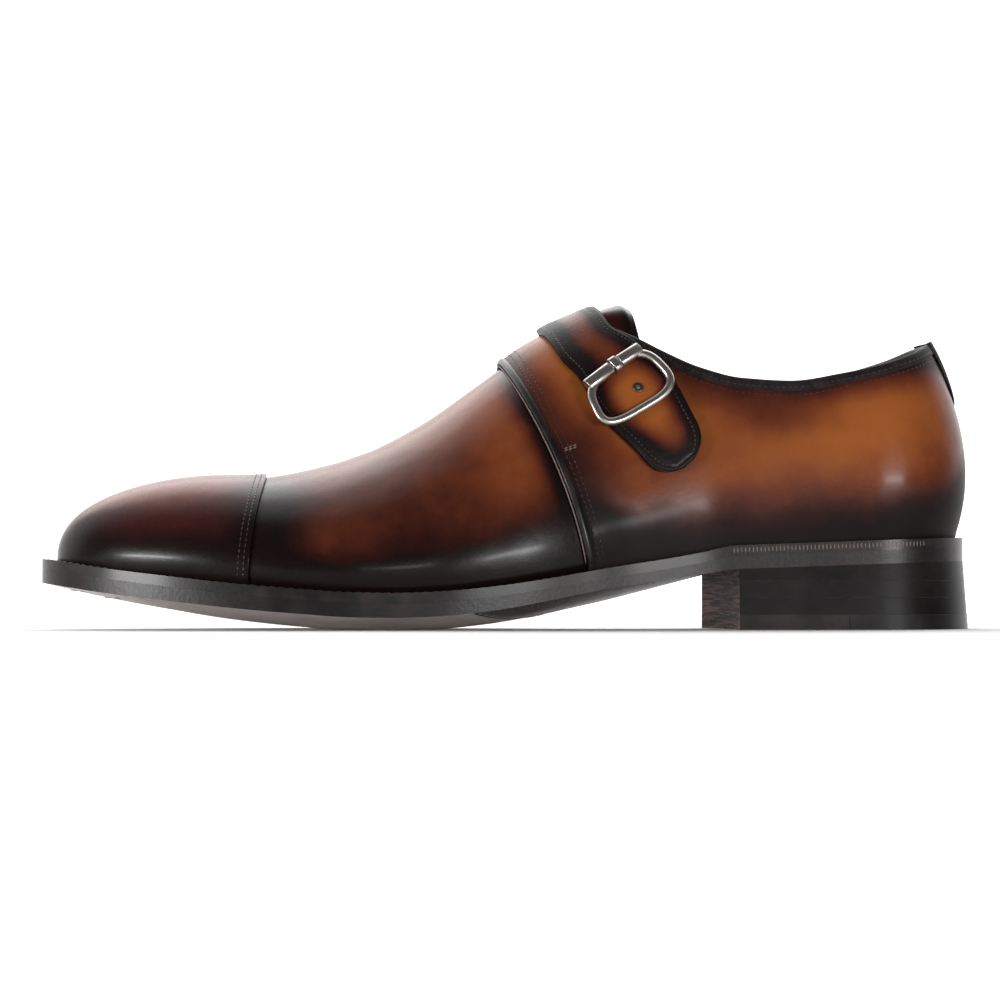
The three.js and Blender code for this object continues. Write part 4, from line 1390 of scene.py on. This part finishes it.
def bar_block(name, start, end, wide, high, bevel, node):
    """A rounded block on the buckle's top bar, from start to end along it."""
    a, b = buckle_spot(start, -1, wire_height(-1)), buckle_spot(end, -1, wire_height(-1))
    along = (b - a).normalized()
    out = buckle_spot(0, -1, 1) - buckle_spot(0, -1, 0)
    across = along.cross(out).normalized()
    up = across.cross(along).normalized()
    bm = bmesh.new()
    bmesh.ops.create_cube(bm, size=1)
    bmesh.ops.scale(bm, vec=((b - a).length, wide, high), verts=bm.verts)
    for lengthwise, offset, segments in ((True, bevel, 5), (False, END_ROUND, 2)):
        edges = [edge for edge in bm.edges
                 if (abs(edge.verts[0].co.x - edge.verts[1].co.x) > 1e-4) == lengthwise]
        bmesh.ops.bevel(bm, geom=edges, offset=offset, affect="EDGES", segments=segments,
                        profile=0.5, material=-1)
    turn = Matrix((along, across, up)).transposed()
    for vert in bm.verts:
        vert.co = place(*((a + b) / 2 + turn @ vert.co))
    bmesh.ops.recalc_face_normals(bm, faces=bm.faces)
    piece = finish_mesh(name, bm)
    return dress(piece, nickel, [node])


bar_block("sleeve_front", -0.95, -0.12, *SLEEVE, "buckle_sleeve_front")
bar_block("sleeve_rear", 0.18, 0.9, *SLEEVE, "buckle_sleeve_rear")
bar_block("bead", -0.08, 0.14, 5.4, 4.0, 1.5, "buckle_bead")


def to_part(direction):
    """A direction along the stations as one of the part."""
    return Vector((-direction.x, direction.y, direction.z))


def disc(name, centre, normal, radius, height, bevel):
    bm = bmesh.new()
    bmesh.ops.create_cone(bm, cap_ends=True, segments=32, radius1=radius * MM,
                          radius2=radius * MM, depth=height * MM)
    rims = [edge for edge in bm.edges if abs(edge.verts[0].co.z - edge.verts[1].co.z) < 1e-7]
    bmesh.ops.bevel(bm, geom=rims, offset=bevel * MM, affect="EDGES", segments=3, profile=0.5,
                    material=-1)
    turn = Vector((0, 0, 1)).rotation_difference(to_part(normal)).to_matrix().to_4x4()
    bmesh.ops.transform(bm, matrix=Matrix.Translation(place(*centre)) @ turn, verts=bm.verts)
    return finish_mesh(name, bm)


STUD = (112.9, -0.559)
stud_normal = (arch(*STUD, 1) - arch(*STUD, 0)).normalized()
stud_middle = arch(*STUD, GAP + STRAP_THICKNESS + 0.2)
stud = disc("stud", stud_middle, stud_normal, 1.7, 0.7, 0.25)
dress(stud, gunmetal, ["strap_stud"])
# a small bright nickel disc on the stud: a painted glint
glint = disc("stud_glint", stud_middle + stud_normal * 0.35, stud_normal, 0.6, 0.3, 0.1)
dress(glint, nickel)
print("stud at", [round(x, 4) for x in place(*stud_middle)])

# %% [markdown]
# Each stitch is a small grain of thread lying in the leather. One grain is a low sphere,
# stretched along the seam, and a seam is that grain set down again and again at an even
# pitch. A thousand of them stay light because each has only a few faces.

# %% Stitches
def even_marks(points, pitch):
    """Places along a path of (point, normal) pairs at an even pitch, with directions."""
    marks_out, travelled, due = [], 0.0, pitch / 2
    for (a, normal_a), (b, normal_b) in zip(points, points[1:]):
        length = (b - a).length
        while length > 0 and due <= travelled + length:
            t = (due - travelled) / length
            marks_out.append((a.lerp(b, t), (b - a).normalized(),
                              normal_a.lerp(normal_b, t).normalized()))
            due += pitch
        travelled += length
    return marks_out


def stitch_row(name, paths, pitch=2.1, long=1.5, wide=0.42, high=0.3, slant=0.0,
               material=thread_dark):
    """Stitches along each path, in millimetres; slant tilts them against the seam."""
    bm = bmesh.new()
    for path in paths:
        for at, along, normal in even_marks(path, pitch):
            along, normal = to_part(along), to_part(normal)
            across = normal.cross(along).normalized()
            along = (along + across * slant).normalized()
            across = normal.cross(along).normalized()
            normal = along.cross(across)
            turn = Matrix((along, across, normal)).transposed().to_4x4()
            size = Matrix.Diagonal((long / 2 * MM, wide / 2 * MM, high / 2 * MM, 1))
            bmesh.ops.create_uvsphere(bm, u_segments=6, v_segments=5, radius=1,
                                      matrix=Matrix.Translation(place(*at)) @ turn @ size
                                      @ Matrix.Rotation(math.pi / 2, 4, "Y"))
    obj = finish_mesh(name, bm)
    print(name, len(obj.data.polygons), "faces")
    return dress(obj, material)


def seam_on(spots, offset):
    """Path of (point, normal) pairs from (station, v, side) spots."""
    return [(skin(u, v, side, offset), last_normal(u, min(v, 0.998), side))
            for u, v, side in spots]


def over_arch(station, gap, low=0.03):
    """A seam from welt to welt that keeps this gap to the seam station."""
    spots = []
    for step in even_steps(-1, 1, 120):
        a = step * (1 - low)
        v = 1 - abs(a)
        spots.append((leaned(station, v) + gap, v, -1 if a < 0 else 1))
    return spots


print("places on a seam over the arch:", len(over_arch(CAP_EDGE, 0)))

# %% [markdown]
# A thin cord is sewn into the quarters' front edge as piping, and a thin pale cord just in
# front of it is a painted highlight along the piping. The back seam is a low ridge. Each is
# an oval ring carried along a path, drawn to a point at its ends. Short slanted stitches
# hold the end of the seam.

# %% Piping, back seam and bar tacks
CORD_END = 3


def cord_piece(name, path, half_wide, half_high, material):
    """A low rounded cord laid along a path of (point, normal) pairs."""
    rings = []
    for k, (point, normal) in enumerate(path):
        ahead, behind = path[min(k + 1, len(path) - 1)][0], path[max(k - 1, 0)][0]
        size = math.sin(min(k, len(path) - 1 - k, CORD_END) / CORD_END * math.pi / 2)
        rings.append(cord_ring(point, (ahead - behind).normalized(), normal,
                               half_wide * size, half_high * size, 2, 10))
    bm = sweep(rings, False, True)
    bmesh.ops.recalc_face_normals(bm, faces=bm.faces)
    return dress(finish_mesh(name, bm), material)


piping_path = seam_on(over_arch(QUARTER_EDGE, -0.9, low=0.004), 0.1)
cord_piece("quarter_edge", piping_path, 1.25, 0.75, black_edge)
# a pale cord in front of the piping: a painted highlight
highlight_line_path = seam_on(over_arch(QUARTER_EDGE, 0.45, low=0.01), -0.75)
cord_piece("quarter_edge_highlight", highlight_line_path, 0.28, 0.3, thread_pale)


def bar_tack(side):
    """A few long stitches side by side that hold the end of the seam."""
    paths = []
    for row in range(2):
        a = 0.665 + (row - 0.5) * 0.007
        paths.append([(skin(s, 1 - a, side, 0.12), last_normal(s, 1 - a, side))
                      for s in (137.4, 135, 132.6)])
    return paths


stitch_row("bar_tacks", bar_tack(-1) + bar_tack(1), pitch=1.5, long=1.35, wide=0.45, high=0.4,
           slant=0.25, material=thread_pale)
back_seam = [(skin(0, v, 1, 0.02), last_normal(0, v, 1))
             for v in even_steps(0.02, strip_low_v + 0.01, 40)]
cord_piece("back_seam", back_seam, 0.35, 0.18, binding_leather)

# %% [markdown]
# Double rows of stitches hold the toe cap and the quarters' front edge. Two rows follow the
# top line: one holds the binding and one the lining. The strap has a row all round, close
# to its edge, and a seam across it where its inner end is sewn down. The row round the
# strap is a squared loop in the strap's own t and w.

# %% Rows of stitches
cap_rows = [seam_on(over_arch(CAP_EDGE, gap), 0.04) for gap in (1.9, 3.6)]
stitch_row("cap_stitches", cap_rows, pitch=1.9, long=1.4)
quarter_rows = [seam_on(over_arch(QUARTER_EDGE, -gap), 0.06) for gap in (3.4, 5.1)]
stitch_row("quarter_stitches", quarter_rows, pitch=1.9, long=1.4)


def below_top(gap):
    """A seam that follows the top line this far below it."""
    spots = []
    for u, v, side in collar_spots:
        here, _, up = top_frame(u, v, side)
        spots.append((here - up * gap, last_normal(u, min(v - 0.03, 0.98), side)))
    return spots


stitch_row("top_line_stitches", [[(p + n * 0.5, n) for p, n in below_top(2.1)]],
           pitch=2.0, long=1.3, wide=0.4)
stitch_row("top_line_stitches_low", [[(p + n * 0.02, n) for p, n in below_top(4.6)]],
           pitch=2.0, long=1.3)


def strap_stitch(t, w):
    here = strap_spot(t, w, strap_top(t, w) + 0.02)
    return here, (here - strap_spot(t, w, 0)).normalized()


def strap_seam(gap):
    """Path round the strap at this distance from its edge."""
    path = []
    for k in range(161):
        t, over = squared(2 * math.pi * k / 160, 9)
        half = strap_width(clamp(t, -STRAP_ROUND, STRAP_ROUND)) / 2
        t = t * (1 - gap * 1.15 / TIP_MM * (1 - STRAP_ROUND))
        width = end_round(t)
        full = max(half * width - gap, 0.0) / max(half * width, 1e-6) if width > 0 else 0
        path.append(strap_stitch(t, 0.5 + 0.5 * full * clamp(over, -1, 1)))
    return path


cross_seam = [strap_stitch(CROSS_SEAM, w) for w in even_steps(0.14, 0.86, 12)]
stitch_row("strap_stitches", [strap_seam(STRAP_SEAM), cross_seam], pitch=1.5, long=1.1, wide=0.5,
           high=0.4)

# %% [markdown]
# The welt is sewn to the sole all round the forefoot. Its stitches are larger and lie in
# the open on the ledge. Beside the heel a hot wheel has pressed short upright ticks.

# %% Welt stitches and heel ticks
WELT_START = 70.0
TICKS_BACK, TICKS_FRONT = 20, 84


def welt_side(side, inset):
    return [(Vector((s, outline(s, side, inset), midsole_top(s, side * 0.96))),
             Vector((0, 0, 1))) for s in end_steps(WELT_START, LENGTH - inset - 0.05, 120)]


stitch_row("welt_stitches", [welt_side(-1, 1.9) + welt_side(1, 1.9)[::-1][1:]], pitch=3.0,
           long=2.2, wide=0.8, high=0.5)


def heel_tick_path(side, height):
    """Path along one side of the heel, this far below the top of the midsole."""
    points = [Vector((s, outline(s, side), midsole_top(s, side) - height))
              for s in even_steps(TICKS_BACK, TICKS_FRONT, 60)]
    path = []
    for point, ahead in zip(points, points[1:]):
        path.append((point, side * (ahead - point).cross(Vector((0, 0, -1))).normalized()))
    return path


stitch_row("heel_ticks", [heel_tick_path(side, 1.5) for side in (-1, 1)], pitch=1.25,
           long=0.45, wide=2.0, high=0.16, material=thread_pale)

# %% [markdown]
# Small nails hold the leather front of the heel's bottom layer, and two rows of them the
# tip of the sole. The waist's ink ends in a line of pressed ticks. Small dots run along both
# edges, made pale as painted glints.

# %% Nails and waist line
NAIL_INSET = 3.2
heel_nails = [(s, outline(s, -1, NAIL_INSET), 0) for s in (72, 62, 52)]
heel_nails += [(s, outline(s, 1, NAIL_INSET), 0) for s in (68, 60, 52, 44, 36)]


def many_discs(name, spots, radius, material):
    """Round heads of nails, flush with the leather under the shoe."""
    bm = bmesh.new()
    for s, y, z in spots:
        bmesh.ops.create_cone(bm, cap_ends=True, segments=16, radius1=radius * 0.8 * MM,
                              radius2=radius * MM, depth=0.5 * MM,
                              matrix=Matrix.Translation(place(s, y, z + 0.15)))
    return dress(finish_mesh(name, bm, False), material)


many_discs("heel_nails", heel_nails, 0.9, gunmetal)


def under_spot(s, t):
    """Place on the underside of the outsole, t running from the lateral to the medial edge."""
    return Vector((s, across_sole(s, t), outsole_bottom(s, t)))


toe_nails = [under_spot(LENGTH - back - 9 * t * t, t) - Vector((0, 0, 0.1))
             for back in (10, 21) for t in (-0.62, -0.32, 0.0, 0.32, 0.62)]
many_discs("toe_nails", toe_nails, 1.1, nickel)
down = Vector((0, 0, -1))
waist_line = [(under_spot(lerp(WAIST_POINT, WAIST_FRONT, abs(t)), t), down)
              for t in even_steps(-0.97, 0.97, 60)]
# pale dots along the waist's edges: painted glints
edge_glint_dots = [[(under_spot(s, t), down) for s in even_steps(158, 82, 60)] for t in (-0.9, 0.9)]
stitch_row("waist_line", [waist_line], pitch=1.6, long=0.6, wide=2.0, high=0.3, slant=0.4)
stitch_row("waist_glint_dots", edge_glint_dots, pitch=2.2, long=0.7, wide=0.7, high=0.3,
           material=thread_pale)

# %% [markdown]
# The photograph has a white ground under a white backdrop. The floor is one wide sheet of
# pale paper. Its far edge lies close behind the shoe, where it can't be told from the sky.

# %% Floor
FLOOR_SIZE = 6.0
FLOOR_BACK = 0.9
floor_bm = bmesh.new()
bmesh.ops.create_grid(floor_bm, x_segments=8, y_segments=8, size=FLOOR_SIZE / 2)
bmesh.ops.translate(floor_bm, verts=floor_bm.verts, vec=(0, FLOOR_BACK - FLOOR_SIZE / 2, 0))
floor = finish_mesh("floor", floor_bm)
paper, _, paper_shader = new_material("pale paper")
paper_shader.inputs["Base Color"].default_value = rgb(0.9, 0.9, 0.9)
paper_shader.inputs["Roughness"].default_value = 0.9
floor.data.materials.append(paper)
print("floor:", FLOOR_SIZE, "m wide")

# %% [markdown]
# A softbox above and behind gives the pale rim on the vamp and the cap. Three small low
# lamps make the bright spots on the toe, the vamp, the buckle and the heel. The sky is
# white behind the shoe and dark on the camera's side, which keeps the leather deep.

# %% Lamps and sky
def lamp(name, at, aim, size, power, size_y=None):
    data = bpy.data.lights.new(name, "AREA")
    data.energy = power
    data.shape = "RECTANGLE"
    data.size = size
    data.size_y = size_y or size
    obj = bpy.data.objects.new(name, data)
    obj.location = at
    obj.rotation_euler = (Vector(aim) - Vector(at)).to_track_quat("-Z", "Y").to_euler()
    bpy.context.scene.collection.objects.link(obj)


lamp("softbox above", (0.0, 1.0, 1.0), (0, 0, 0), 1.8, 10, 0.8)
lamp("lamp by the camera", (0.06, -1.35, 0.16), (0, 0, 0.04), 0.14, 0.9, 0.06)
lamp("lamp at the heel", (0.66, -1.2, 0.1), (0.1, 0, 0.04), 0.36, 8.0, 0.05)
lamp("lamp at the toe", (-1.2, -0.66, 0.06), (-0.1, 0, 0.03), 0.4, 12.0, 0.035)


def studio_sky():
    """White behind and above the shoe, and grey on the side where the camera stands."""
    world = bpy.data.worlds.new("studio")
    world.use_nodes = True
    tree = world.node_tree
    start = Node(tree, tree.nodes.new("ShaderNodeTexCoord").outputs["Generated"])
    bright = (start.part(1) + start.part(2) * 0.08).step(-0.02, 0.42)
    backdrop_light = tree.nodes["Background"]
    shade = bright.mix(rgb(0.06, 0.06, 0.062), rgb(1.0, 1.0, 1.0))
    tree.links.new(shade.socket, backdrop_light.inputs["Color"])
    backdrop_light.inputs["Strength"].default_value = 2.0
    bpy.context.scene.world = world


studio_sky()
bpy.context.scene.view_settings.view_transform = "Standard"

# %% [markdown]
# The photograph was taken from the shoe's outer side, turned a little toward the toe, from
# below the ground. The camera keeps the turn and stops just above the floor. Its focal
# length, in pixels of a 1000 pixel frame, makes the shoe as long as in the photograph.

# %% Camera
SENSOR_MM = 36
FOCAL_PX = 3594.0
YAW = math.radians(6.0)
DISTANCE = 1.17
AIM = Vector((-0.003, 0.0, 0.042))
eye = Vector((-DISTANCE * math.sin(YAW), -DISTANCE * math.cos(YAW), 0.0)) + AIM
eye.z = 0.012
camera_data = bpy.data.cameras.new("camera")
camera_data.sensor_width = SENSOR_MM
camera_data.lens = FOCAL_PX / 1000 * SENSOR_MM
camera = bpy.data.objects.new("camera", camera_data)
camera.location = eye
camera.rotation_euler = (AIM - eye).to_track_quat("-Z", "Y").to_euler()
bpy.context.scene.collection.objects.link(camera)
bpy.context.scene.camera = camera
print("lens:", round(camera_data.lens, 1), "mm")
